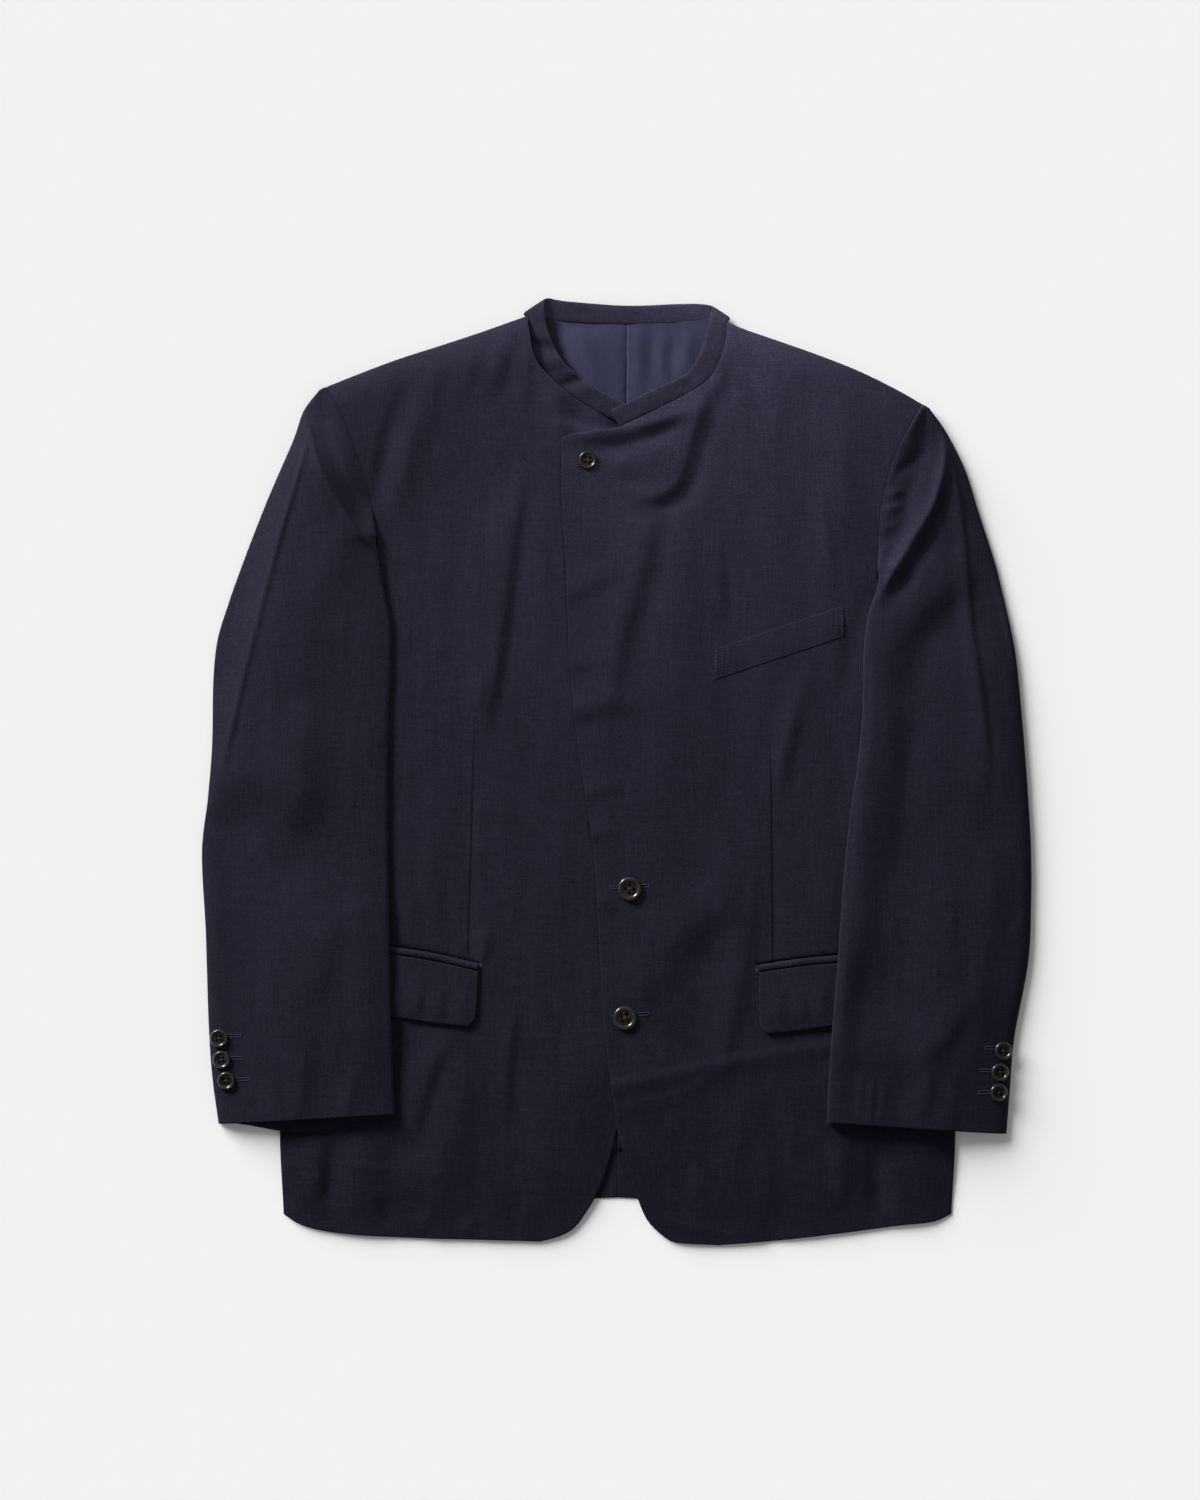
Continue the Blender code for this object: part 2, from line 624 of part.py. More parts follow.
def sew_button(button, panel):
    """A turned button with a raised rim, seated on its panel."""
    bm = bmesh.new()
    radius = button.size / 2
    bmesh.ops.create_cone(
        bm,
        cap_ends=True,
        segments=BUTTON_SEGMENTS,
        radius1=radius * BUTTON_FOOT,
        radius2=radius,
        depth=BUTTON_WALL,
    )
    top = max(bm.faces, key=lambda face: face.calc_center_median().z)
    bmesh.ops.inset_region(bm, faces=[top], thickness=BUTTON_RIM)
    bmesh.ops.translate(bm, vec=(0, 0, -BUTTON_DISH), verts=top.verts)
    bmesh.ops.inset_region(bm, faces=[top], thickness=BUTTON_DISH)
    touch = surface(panel)
    reach = radius * BUTTON_SEAT
    ring = [Vector((math.cos(a), math.sin(a), 0)) * reach for a in np.linspace(0, math.tau, 9)[:8]]
    middle = Vector((button.x, button.y, touch(button.x, button.y)))
    spots = [middle + step for step in ring]
    spots = [Vector((spot.x, spot.y, touch(spot.x, spot.y))) for spot in spots]
    normal = (spots[0] - spots[4]).cross(spots[2] - spots[6]).normalized()
    proud = max(0.0, *((spot - middle).dot(normal) for spot in spots))
    turn = normal.to_track_quat("Z", "Y").to_matrix().to_4x4()
    seat = middle + normal * (BUTTON_WALL / 2 + SEAT_GAP + proud)
    bmesh.ops.transform(bm, matrix=Matrix.Translation(seat) @ turn, verts=bm.verts)
    return finish(button.name, bm, BUTTON_LOOK)


for old in list(bpy.data.objects):
    bpy.data.objects.remove(old)
jacket = bpy.data.collections.new("collarless_jacket")
bpy.context.scene.collection.children.link(jacket)

panels = {}
for side, cut, table in (("right", RIGHT, RIGHT_SLEEVE), ("left", LEFT, LEFT_SLEEVE)):
    lay_cloth("back_" + side, back_half(cut), level(0.0), WOOL, BACK_CELL, WOOL_LOOK)
    lay_cloth("lining_" + side, lining_half(cut), level(LINING_Z), LINING, BACK_CELL, LINING_LOOK)
    height = right_height if cut is RIGHT else lapped_height
    front = lay_cloth("front_" + side, front_outline(cut), height, WOOL, FRONT_CELL, WOOL_LOOK)
    top = loft("sleeve_" + side + "_top", partial(sleeve_top, cut, table), TOP_GRID, WOOL, WOOL_LOOK)
    loft("sleeve_" + side + "_under", partial(sleeve_under, cut, table), UNDER_GRID, WOOL, WOOL_LOOK)
    panels["front_" + side] = front
    panels["sleeve_" + side + "_top"] = top

loft("neck_band", band_place, BAND_GRID, BAND, WOOL_LOOK, offset=0.0)

bpy.context.view_layer.update()
on_right = on_top(panels["front_right"])
on_left = on_top(panels["front_left"])
lay_cloth("chest_welt", [Vector((x, y, 0)) for x, y in CHEST_WELT], on_left, FLAP, TRIM_CELL, WOOL_LOOK)
for side, sign, seat in (("right", -1, on_right), ("left", 1, on_left)):
    lay_cloth("jet_" + side, jet_outline(POCKETS[sign]), seat, JET, TRIM_CELL, WOOL_LOOK)
    lay_cloth("flap_" + side, flap_outline(POCKETS[sign]), seat, FLAP, TRIM_CELL, WOOL_LOOK)
for button in BUTTONS:
    sew_button(button, panels[button.panel])
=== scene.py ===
import math
from collections import namedtuple

import bmesh
import bpy
import numpy as np
from mathutils import Matrix, Vector, noise
from mathutils.bvhtree import BVHTree
from mathutils.geometry import interpolate_bezier


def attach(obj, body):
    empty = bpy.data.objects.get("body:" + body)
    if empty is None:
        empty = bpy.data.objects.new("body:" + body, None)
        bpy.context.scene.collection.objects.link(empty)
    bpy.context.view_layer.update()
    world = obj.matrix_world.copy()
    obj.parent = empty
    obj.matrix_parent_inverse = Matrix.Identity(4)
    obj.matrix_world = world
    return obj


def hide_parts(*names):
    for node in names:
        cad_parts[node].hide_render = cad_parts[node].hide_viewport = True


# A collarless wool jacket, laid flat on its back. X runs across it, Y towards the neck and Z up from
# the floor, and left and right are the wearer's. Sizes are in millimetres, and pieces end in metres.
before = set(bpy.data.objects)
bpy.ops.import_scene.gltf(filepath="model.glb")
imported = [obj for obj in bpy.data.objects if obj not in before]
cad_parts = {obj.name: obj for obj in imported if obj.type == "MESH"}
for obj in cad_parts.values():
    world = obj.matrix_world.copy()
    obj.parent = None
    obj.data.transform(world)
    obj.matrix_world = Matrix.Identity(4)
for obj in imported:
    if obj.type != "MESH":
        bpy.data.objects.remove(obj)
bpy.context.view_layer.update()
MM = 0.001

# Floor, light and camera. The jacket lies on a pale seamless floor and is seen from straight above, in a
# soft lamp beyond its right shoulder, a strip of light beyond its neck, and even light from all round.
# The floor has its own wider lamp from the same side, and a faint one that casts no shadow.
FLOOR_SIZE = 60000.0
FLOOR_DROP = 0.1
FLOOR_COLOUR = (0.9, 0.9, 0.9, 1.0)
FLOOR_ROUGHNESS = 0.9
LAMP_FROM = (-0.73, 0.75, 0.39)
LAMP_DISTANCE = 3600.0
LAMP_SIZE = 1000.0
LAMP_POWER = 258.0
FLOOR_SPREAD = 42.0
FLOOR_POWER = 6.43
FILL_POWER = 0.2
ROUND_COLOUR = (1, 1, 1, 1)
ROUND_LIGHT = 0.25
WINDOW_PLACE = (80.0, 490.0, 110.0)
WINDOW_AIM = (80.0, 280.0, 0.0)
WINDOW_SIZE = (680.0, 70.0)
WINDOW_POWER = 2.3
VIEW_CENTRE = (-13.9, 18.1)
VIEW_LENGTH = 1260.0
LENS = 85.0
SENSOR = 36.0

bm = bmesh.new()
bmesh.ops.create_grid(bm, x_segments=1, y_segments=1, size=FLOOR_SIZE / 2 * MM)
bmesh.ops.translate(bm, vec=(0, 0, -FLOOR_DROP * MM), verts=bm.verts)
floor_mesh = bpy.data.meshes.new("floor")
bm.to_mesh(floor_mesh)
bm.free()
floor_paint = bpy.data.materials.new("floor_paint")
floor_paint.use_nodes = True
paint = floor_paint.node_tree.nodes["Principled BSDF"].inputs
paint["Base Color"].default_value = FLOOR_COLOUR
paint["Roughness"].default_value = FLOOR_ROUGHNESS
paint["Specular IOR Level"].default_value = 0.0
floor_mesh.materials.append(floor_paint)
floor = bpy.data.objects.new("floor", floor_mesh)
bpy.context.scene.collection.objects.link(floor)

jacket = bpy.data.collections.new("jacket")
bpy.context.scene.collection.children.link(jacket)
ground = bpy.data.collections.new("ground")
ground.objects.link(floor)
by_window = bpy.data.collections.new("by_window")


def shine(name, kind, lit):
    """A lamp beyond the right shoulder, for the things in one collection."""
    lamp = bpy.data.lights.new(name, kind)
    stand = bpy.data.objects.new(name, lamp)
    stand.location = Vector(LAMP_FROM).normalized() * LAMP_DISTANCE * MM
    stand.rotation_euler = Vector(LAMP_FROM).to_track_quat("Z", "Y").to_euler()
    stand.visible_camera = False
    stand.light_linking.receiver_collection = lit
    bpy.context.scene.collection.objects.link(stand)
    return lamp


lamp = shine("lamp", "AREA", jacket)
lamp.shape = "DISK"
lamp.size = LAMP_SIZE * MM
lamp.energy = LAMP_POWER
floor_lamp = shine("floor_lamp", "SUN", ground)
floor_lamp.energy = FLOOR_POWER
floor_lamp.angle = math.radians(FLOOR_SPREAD)
floor_fill = shine("floor_fill", "SUN", ground)
floor_fill.energy = FILL_POWER
floor_fill.use_shadow = False
window = bpy.data.lights.new("window", "AREA")
window.shape = "RECTANGLE"
window.size = WINDOW_SIZE[0] * MM
window.size_y = WINDOW_SIZE[1] * MM
window.energy = WINDOW_POWER
window_frame = bpy.data.objects.new("window", window)
window_frame.location = Vector(WINDOW_PLACE) * MM
window_frame.rotation_euler = (Vector(WINDOW_PLACE) - Vector(WINDOW_AIM)).to_track_quat("Z", "X").to_euler()
window_frame.visible_camera = False
window_frame.light_linking.receiver_collection = by_window
bpy.context.scene.collection.objects.link(window_frame)
room = bpy.data.worlds.new("room")
room.use_nodes = True
glow = room.node_tree.nodes["Background"].inputs
glow["Color"].default_value = ROUND_COLOUR
glow["Strength"].default_value = ROUND_LIGHT
bpy.context.scene.world = room

camera = bpy.data.cameras.new("camera")
camera.lens = LENS
camera.sensor_width = SENSOR
tripod = bpy.data.objects.new("camera", camera)
tripod.location = (VIEW_CENTRE[0] * MM, VIEW_CENTRE[1] * MM, VIEW_LENGTH * LENS / SENSOR * MM)
bpy.context.scene.collection.objects.link(tripod)
bpy.context.scene.camera = tripod
bpy.context.scene.view_settings.view_transform = "Standard"

# Back, in two halves of fine navy wool joined down the centre. It lies face down on the floor under
# the lining, and shows at the hem between the fronts.
WALL = 1.2
WOOL = 1.6
EDGE_STEP = 5.0
EDGE_RINGS = (0.3, 0.5, 0.7)
EDGE_ROUND = 0.9
EDGE_DROP = 0.9
SEAM_DROP = 0.35
SNAP = 0.05
CENTRE_BACK = ((9.0, 376.5), (0.5, -357.5))
BACK_NECK = {
    -1: ((9, 380), (-38, 382), (-66, 385), (-74.8, 382.5)),
    1: ((9, 380), (52, 382), (80, 384), (92.3, 378)),
}
BACK_CELL = (14.0, 14.0)
Cut = namedtuple(
    "Cut", "sign neck shoulder armhole side hem front_curve front_edge lap_top back_armhole crest"
)
RIGHT = Cut(
    sign=-1,
    neck=(
        (-1.3, 294.5), (-8, 298), (-25.5, 307), (-42, 318), (-56, 331), (-68, 346), (-72.7, 367),
        (-74.8, 382.5),
    ),
    shoulder=((-74.8, 382.5), (-115, 368.3), (-148, 357.4), (-182, 346.5), (-215.5, 334), (-243, 323)),
    armhole=(
        (-243, 323), (-230, 300), (-218.5, 270), (-208, 238), (-203, 211), (-201, 188),
        (-206, 160), (-226, 128), (-258, 105), (-285, 95),
    ),
    side=((-285, 95), (-277, 0), (-275, -80), (-280, -200), (-282.5, -303), (-279.5, -371.5)),
    hem=((-279.5, -371.5), (-266, -380), (-237, -387), (-182, -391), (-98, -393.5), (-64, -394.5)),
    front_curve=(
        (-64, -394.5), (-47.5, -390), (-35.4, -383), (-25, -369), (-18.3, -358), (-8.8, -335.6), (0.5, -301),
    ),
    front_edge=(
        (0.5, -301), (5, -262), (10.5, -215), (14.7, -140), (19, -69), (26.5, -17), (36, 50),
        (40, 104), (42.4, 171), (45.8, 225), (46, 279),
    ),
    lap_top=((46, 279), (20, 287), (-1.3, 294.5)),
    back_armhole=((-243, 323), (-232, 280), (-228, 230), (-232, 170), (-252, 120), (-285, 95)),
    crest=((-228, 323), (-228, 270), (-236, 220), (-252, 170), (-270, 128), (-285, 95)),
)
LEFT = Cut(
    sign=1,
    neck=((1.8, 288.2), (41.4, 307), (69.3, 322.3), (79, 330.7), (87.4, 347.3), (91.6, 364), (92.3, 378)),
    shoulder=((92.3, 378), (104, 372.5), (137, 361), (171, 349), (204.5, 335.6), (238, 319), (256, 308.5)),
    armhole=(
        (256, 308.5), (234, 267.7), (222, 224.7), (219, 184.4), (219, 157.5),
        (228, 126), (258, 103), (286, 92),
    ),
    side=((286, 92), (279, 0), (277, -80), (282, -200), (284.3, -303), (281, -371.5)),
    hem=((281, -371.5), (267.5, -377.6), (238, -381), (187.7, -387.7), (137, -393.5), (86, -397.6)),
    front_curve=(
        (86, -397.6), (55.4, -396), (45.8, -394.4), (34, -385.6), (25.4, -376), (18, -359), (12.5, -341),
        (0.5, -301),
    ),
    front_edge=(
        (0.5, -301), (-4.6, -262), (-10.5, -215.5), (-14.7, -140), (-19, -69), (-26.5, -17), (-35.7, 50),
        (-40, 104), (-42.4, 171), (-45.8, 225), (-46.3, 279),
    ),
    lap_top=((-46.3, 279), (-38, 282.7), (-20, 285.4), (1.8, 288.2)),
    back_armhole=((256, 308.5), (246, 270), (242, 225), (244, 165), (258, 118), (286, 92)),
    crest=((240, 308.5), (239, 270), (245, 220), (258, 170), (273, 126), (286, 92)),
)
HALVES = (("right", RIGHT), ("left", LEFT))
WOOL_DARK = (0.0008, 0.0006, 0.0034, 1)
WOOL_LIGHT = (0.0178, 0.0164, 0.0335, 1)
WOOL_SHEEN = (0.55, 0.56, 0.85, 1)
WOOL_SHINE = 0.12
NAP_WEIGHT = 0.12
NAP_ROUGHNESS = 0.3
WARP_GRAIN = (1.4, 25.0)
WEFT_GRAIN = (20.0, 1.3)
PEPPER_GRAIN = (1.7, 1.7)
CLOUD_GRAIN = (12.0, 40.0)
WARP_SHARE = 0.45
WEFT_SHARE = 0.36
PEPPER_SHARE = 0.6
CLOUD_SHARE = 0.2
MOTTLE_SHIFT = 0.305
WEAVE_HEIGHT = 0.5
MOTTLE_HEIGHT = 1.2
WOOL_BUMP = 0.5
WOOL_RELIEF = 0.25
WOOL_ROUGHNESS = 0.95
PEPPER_POLISH = 0.2
THREAD_PITCH = 0.9
MIX_DARK = 6
MIX_LIGHT = 7
MIX_RESULT = 2
CUBIC = 3


class Shade:
    """A socket of a material, which takes part in sums as a number does."""

    def __init__(self, tree, socket=None):
        self.tree = tree
        self.socket = socket

    def node(self, kind, settings, sockets, out=0):
        """Another node, with its settings made first and then its sockets set or linked."""
        made = self.tree.nodes.new(kind)
        for name, value in settings.items():
            setattr(made, name, value)
        for name, value in sockets.items():
            if isinstance(value, Shade):
                self.tree.links.new(value.socket, made.inputs[name])
            else:
                made.inputs[name].default_value = value
        return Shade(self.tree, made.outputs[out])

    def math(self, operation, a, b=0.0):
        return self.node("ShaderNodeMath", {"operation": operation}, {0: a, 1: b})

    def __add__(self, other):
        return self.math("ADD", self, other)

    def __sub__(self, other):
        return self.math("SUBTRACT", self, other)

    def __rsub__(self, other):
        return self.math("SUBTRACT", other, self)

    def __mul__(self, other):
        return self.math("MULTIPLY", self, other)

    __radd__ = __add__
    __rmul__ = __mul__

    def sine(self):
        return self.math("SINE", self)

    def mix(self, dark, light):
        """A colour between two, by this value."""
        parts = {0: self, MIX_DARK: dark, MIX_LIGHT: light}
        return self.node("ShaderNodeMix", {"data_type": "RGBA"}, parts, MIX_RESULT)

    def speckle(self, across, along, detail=2.0):
        """Soft noise with grains of the given sizes, from the places that this socket gives."""
        scale = (1 / (across * MM), 1 / (along * MM), 1 / (across * MM))
        place = self.node("ShaderNodeMapping", {}, {"Vector": self, "Scale": scale})
        return self.node("ShaderNodeTexNoise", {}, {"Vector": place, "Scale": 1.0, "Detail": detail})

    def axes(self):
        """The x and the y of the places that this socket gives."""
        x = self.node("ShaderNodeSeparateXYZ", {}, {0: self})
        return x, Shade(self.tree, x.socket.node.outputs["Y"])

    def bump(self, strength, depth):
        """The normals of a surface with this height as its relief."""
        relief = {"Strength": strength, "Distance": depth * MM, "Height": self}
        return self.node("ShaderNodeBump", {}, relief)


def start_material(name, fixed):
    """A Principled material with its even sockets set, its shader, and the places on the piece."""
    made = bpy.data.materials.new(name)
    made.use_nodes = True
    shader = made.node_tree.nodes["Principled BSDF"]
    for socket, value in fixed.items():
        shader.inputs[socket].default_value = value
    place = Shade(made.node_tree).node("ShaderNodeTexCoord", {}, {}, "Object")
    return made, shader, place


def feed(shader, **parts):
    """Link what changes over a surface to the shader."""
    for name, value in parts.items():
        value.tree.links.new(value.socket, shader.inputs[name.replace("_", " ")])


def wool_cloth():
    """Fine worsted with light and dark threads each way, a short nap and a plain weave."""
    made, shader, place = start_material("wool_cloth", {
        "Specular IOR Level": WOOL_SHINE,
        "Sheen Weight": NAP_WEIGHT,
        "Sheen Roughness": NAP_ROUGHNESS,
        "Sheen Tint": WOOL_SHEEN,
    })
    warp = place.speckle(*WARP_GRAIN)
    weft = place.speckle(*WEFT_GRAIN)
    pepper = place.speckle(*PEPPER_GRAIN)
    cloud = place.speckle(*CLOUD_GRAIN)
    mottle = WARP_SHARE * warp + WEFT_SHARE * weft + PEPPER_SHARE * pepper + CLOUD_SHARE * cloud
    mottle = mottle - MOTTLE_SHIFT
    across, along = place.axes()
    turn = math.tau / (THREAD_PITCH * MM)
    weave = (across * turn).sine() * (along * turn).sine()
    relief = WEAVE_HEIGHT * weave + MOTTLE_HEIGHT * mottle
    feed(
        shader,
        Base_Color=mottle.mix(WOOL_DARK, WOOL_LIGHT),
        Roughness=WOOL_ROUGHNESS - PEPPER_POLISH * pepper,
        Normal=relief.bump(WOOL_BUMP, WOOL_RELIEF),
    )
    return made


def smooth(points, step=EDGE_STEP):
    """Points about a step apart on a smooth curve through the listed ones."""
    knots = [Vector((x, y, 0.0)) for x, y in points]
    last = len(knots) - 1
    line = []
    for i in range(last):
        start, end = knots[i], knots[i + 1]
        chord = (end - start).length
        leave = (end - knots[max(i - 1, 0)]).normalized() * chord / CUBIC
        arrive = (knots[min(i + 2, last)] - start).normalized() * chord / CUBIC
        count = max(2, round(chord / step) + 1)
        line += interpolate_bezier(start, start + leave, end - arrive, end, count)[:-1]
    return line + [knots[-1]]


def closed(*stretches):
    """One outline from stretches that meet end to end."""
    points = []
    for stretch in stretches:
        points += stretch[:-1]
    return points


def quarter_round(t):
    """Rise from 0 to 1 along a quarter of a circle."""
    t = 1.0 - np.clip(t, 0.0, 1.0)
    return np.sqrt(1.0 - t * t)


def beside(line, x, y):
    """Distance from a line, the share of its length where it is nearest, and the side, above 0 for left."""
    lengths = [(b - a).length for a, b in zip(line, line[1:])]
    best = np.full(np.shape(x), np.inf)
    share = np.zeros(np.shape(x))
    side = np.zeros(np.shape(x))
    passed = 0.0
    for a, b, length in zip(line, line[1:], lengths):
        run_x, run_y = b.x - a.x, b.y - a.y
        t = np.clip(((x - a.x) * run_x + (y - a.y) * run_y) / length**2, 0.0, 1.0)
        gap = np.hypot(x - a.x - t * run_x, y - a.y - t * run_y)
        nearer = gap < best
        share = np.where(nearer, (passed + t * length) / sum(lengths), share)
        side = np.where(nearer, run_x * (y - a.y) - run_y * (x - a.x), side)
        best = np.minimum(best, gap)
        passed += length
    return best, share, side


def parts_of(faces):
    """The corners, edges and faces of some of a panel's faces."""
    verts = dict.fromkeys(vert for face in faces for vert in face.verts)
    edges = dict.fromkeys(edge for face in faces for edge in face.edges)
    return [*verts, *edges, *faces]


def slice_up(bm, axis, cell):
    """Cut a flat panel across one axis at even steps."""
    spans = [vert.co[axis] for vert in bm.verts]
    rest = bm.faces[:]
    for k in range(math.ceil(min(spans) / cell), math.floor(max(spans) / cell) + 1):
        place, across = Vector((0, 0, 0)), Vector((0, 0, 0))
        place[axis] = k * cell
        across[axis] = 1
        cut = bmesh.ops.bisect_plane(bm, geom=parts_of(rest), dist=SNAP, plane_co=place, plane_no=across)
        faces = [part for part in cut["geom"] if isinstance(part, bmesh.types.BMFace)]
        rest = [face for face in faces if max(vert.co[axis] for vert in face.verts) > place[axis] + SNAP]


def cut_panel(outline, cell):
    """A flat panel with narrow faces along its edge and small ones inside."""
    bm = bmesh.new()
    inner = bm.faces.new([bm.verts.new(point) for point in outline])
    for ring in EDGE_RINGS:
        bmesh.ops.inset_region(bm, faces=[inner], thickness=ring, use_even_offset=True, use_boundary=True)
    slice_up(bm, 0, cell[0])
    slice_up(bm, 1, cell[1])
    return bm


def lay(bm, outline, top, sewn=None):
    """Raise a flat panel to its height, with its edge turned down, but less where it is sewn to another."""
    x = np.array([vert.co.x for vert in bm.verts])
    y = np.array([vert.co.y for vert in bm.verts])
    edge = beside(outline + outline[:1], x, y)[0]
    drop = np.full(np.shape(x), EDGE_DROP)
    if sewn:
        drop[beside(sewn, x, y)[0] < edge + SNAP] = SEAM_DROP
    z = np.maximum(top(x, y) - drop * (1.0 - quarter_round(edge / EDGE_ROUND)), WALL)
    for vert, height in zip(bm.verts, z):
        vert.co.z = height
    return bm


def face_up(bm):
    """Turn a sheet's faces to look up."""
    bm.normal_update()
    if sum(face.normal.z for face in bm.faces) < 0:
        bmesh.ops.reverse_faces(bm, faces=bm.faces)


def finish(name, bm, look):
    """The shape as a smooth named piece on the jacket, in metres."""
    bmesh.ops.scale(bm, vec=(MM, MM, MM), verts=bm.verts)
    mesh = bpy.data.meshes.new(name)
    bm.to_mesh(mesh)
    bm.free()
    mesh.shade_smooth()
    mesh.materials.append(look)
    piece = bpy.data.objects.new(name, mesh)
    jacket.objects.link(piece)
    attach(piece, "root")
    return piece


def sew_sheet(node, bm, look, slot, wall=WALL, flat=None):
    """A sheet of cloth in place of its node."""
    face_up(bm)
    area = sum(face.calc_area() for face in bm.faces)
    spans = [[vert.co[axis] for vert in bm.verts] for axis in (0, 1)]
    flat = flat or [(max(span) - min(span)) * MM for span in spans]
    piece = finish(node + "_cloth", bm, look)
    solid = piece.modifiers.new("wall", "SOLIDIFY")
    solid.thickness = wall * MM
    solid.offset = -1.0
    solid.use_even_offset = True
    if slot == "wool":
        by_window.objects.link(piece)
    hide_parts(node)
    min(area * MM * MM, flat[0] * flat[1])
    return piece


def level(z):
    """A flat height."""
    return lambda x, y: np.full(np.shape(x), z)


def back_half(cut):
    """Outline of half the back."""
    neck = smooth(BACK_NECK[cut.sign])
    foot = Vector((*CENTRE_BACK[1], 0))
    hem_end = Vector((*cut.side[-1], 0))
    return closed(
        neck,
        smooth(cut.shoulder),
        smooth(cut.back_armhole),
        smooth(cut.side),
        [hem_end, foot],
        [foot, neck[0]],
    )


wool = wool_cloth()
for side, cut in HALVES:
    outline = back_half(cut)
    sheet = lay(cut_panel(outline, BACK_CELL), outline, level(WOOL), outline + outline[:1])
    sew_sheet("back_" + side, sheet, wool, "wool")

# Back lining, in two halves of smooth twill joined down the centre, where the seam puckers. It lies on
# the back, and shows inside the neck and above the back hem, where its colour is darker, for the shade
# between the fronts.
LINING_TOP = 3.5
LINING_NECK_LOW = 0.5
LINING_NECK_Y = 362.0
LINING_NECK_FADE = 14.0
LINING_WALL = 0.7
LINING_HEM_Y = -317.0
LINING_INSET = 26.0
LINING_NECK = {
    -1: ((9, 379), (-38, 380.5), (-62, 383), (-70, 372)),
    1: ((9, 379), (52, 380.5), (76, 381.5), (84, 372)),
}
LINING_HEM_DIP = 6.0
LINING_CELL = (4.0, 5.0)
LINING_DARK = (0.0155, 0.0158, 0.036, 1)
LINING_LIGHT = (0.05, 0.05, 0.1, 1)
LINING_SHADE = (0.007, 0.007, 0.013, 1)
LINING_SHEEN = (0.6, 0.62, 1.0, 1)
LINING_SHINE = 0.2
LINING_NAP = 0.08
FIBRE_GRAIN = (0.6, 9.0)
FIBRE_SHARE = 0.6
TINT_GRAIN = (25.0, 40.0)
TINT_SHARE = 0.6
TINT_SHIFT = 0.1
RIB_PITCH = 0.8
RIB_HEIGHT = 0.4
LINING_BUMP = 0.2
LINING_RELIEF = 0.15
LINING_ROUGHNESS = 0.52
TINT_POLISH = 0.15
SHADE_Y = -230.0
SHADE_FADE = 50.0
FOLD_ENDS = 0.38
FOLD_FADE = 55.0
FOLD_REACH = 2.5
PUCKER_SPACING = 9.0
PUCKER_WIDTH = 7.0
PUCKER_HEIGHT = 0.7
PUCKER_SPAN = (9.0, 7.0)
SUNK_WIDTH = 2.6
SUNK_DEPTH = 1.0
LINING_UNEVEN = 0.25
LINING_SPAN = (14.0, 40.0)
PUCKER_SEED = 3.0
LINING_SEED = 5.0
Crease = namedtuple("Crease", "path left right height")
LINING_CREASES = (
    Crease(((28, 370), (30, 345), (36, 316)), 5, 7, -1.1),
    Crease(((47, 364), (46, 345), (45, 322)), 5, 6, -1.1),
    Crease(((39, 384), (38, 350), (40, 316)), 4, 4, 1.0),
    Crease(((62, 382), (60, 350), (54, 322)), 5, 9, 1.2),
    Crease(((-70, 364), (-40, 374), (-4, 372)), 8, 6, -0.9),
    Crease(((-56, 366), (-28, 340), (2, 300)), 12, 14, 1.4),
    Crease(((20, 388), (20, 350), (18, 306)), 5, 6, 0.9),
    Crease(((-30, 388), (-26, 356), (-20, 322)), 6, 10, 0.8),
)


def lining_cloth():
    """Smooth twill lining with fine slanted ribs and a satin shine."""
    made, shader, place = start_material("lining_cloth", {
        "Specular IOR Level": LINING_SHINE,
        "Sheen Weight": LINING_NAP,
        "Sheen Tint": LINING_SHEEN,
    })
    fibre = place.speckle(*FIBRE_GRAIN)
    tint = place.speckle(*TINT_GRAIN)
    across, along = place.axes()
    rib = ((across + along) * (math.tau / (RIB_PITCH * MM))).sine()
    relief = RIB_HEIGHT * rib + fibre
    colour = (FIBRE_SHARE * fibre + TINT_SHARE * tint - TINT_SHIFT).mix(LINING_DARK, LINING_LIGHT)
    shade = (SHADE_Y * MM - along) * (1 / (SHADE_FADE * MM))
    feed(
        shader,
        Base_Color=shade.mix(colour, LINING_SHADE),
        Roughness=LINING_ROUGHNESS - TINT_POLISH * tint,
        Normal=relief.bump(LINING_BUMP, LINING_RELIEF),
    )
    return made


def soft_step(t):
    """Eased rise from 0 to 1."""
    t = np.clip(t, 0.0, 1.0)
    return t * t * (3.0 - 2.0 * t)


def bell(t):
    """Fall from 1 at the middle to nothing far out on either side."""
    return np.exp(-(t**2))


def crease_height(creases, x, y):
    """Sum of the soft ridges and troughs at a place."""
    z = np.zeros(np.shape(x))
    for crease in creases:
        line = smooth(crease.path)
        reach = FOLD_REACH * max(crease.left, crease.right)
        wide = (x > min(p.x for p in line) - reach) & (x < max(p.x for p in line) + reach)
        near = wide & (y > min(p.y for p in line) - reach) & (y < max(p.y for p in line) + reach)
        gap, share, side = beside(line, x[near], y[near])
        width = np.where(side > 0, crease.left, crease.right)
        fade = min(FOLD_ENDS, FOLD_FADE / sum((b - a).length for a, b in zip(line, line[1:])))
        ends = soft_step(share / fade) * soft_step((1.0 - share) / fade)
        z[near] += crease.height * ends * bell(gap / width)
    return z


def uneven(x, y, span, seed):
    """Slow waves between -1 and 1, with the given length each way."""
    return np.array([noise.noise(Vector((a / span[0], b / span[1], seed))) for a, b in zip(x, y)])


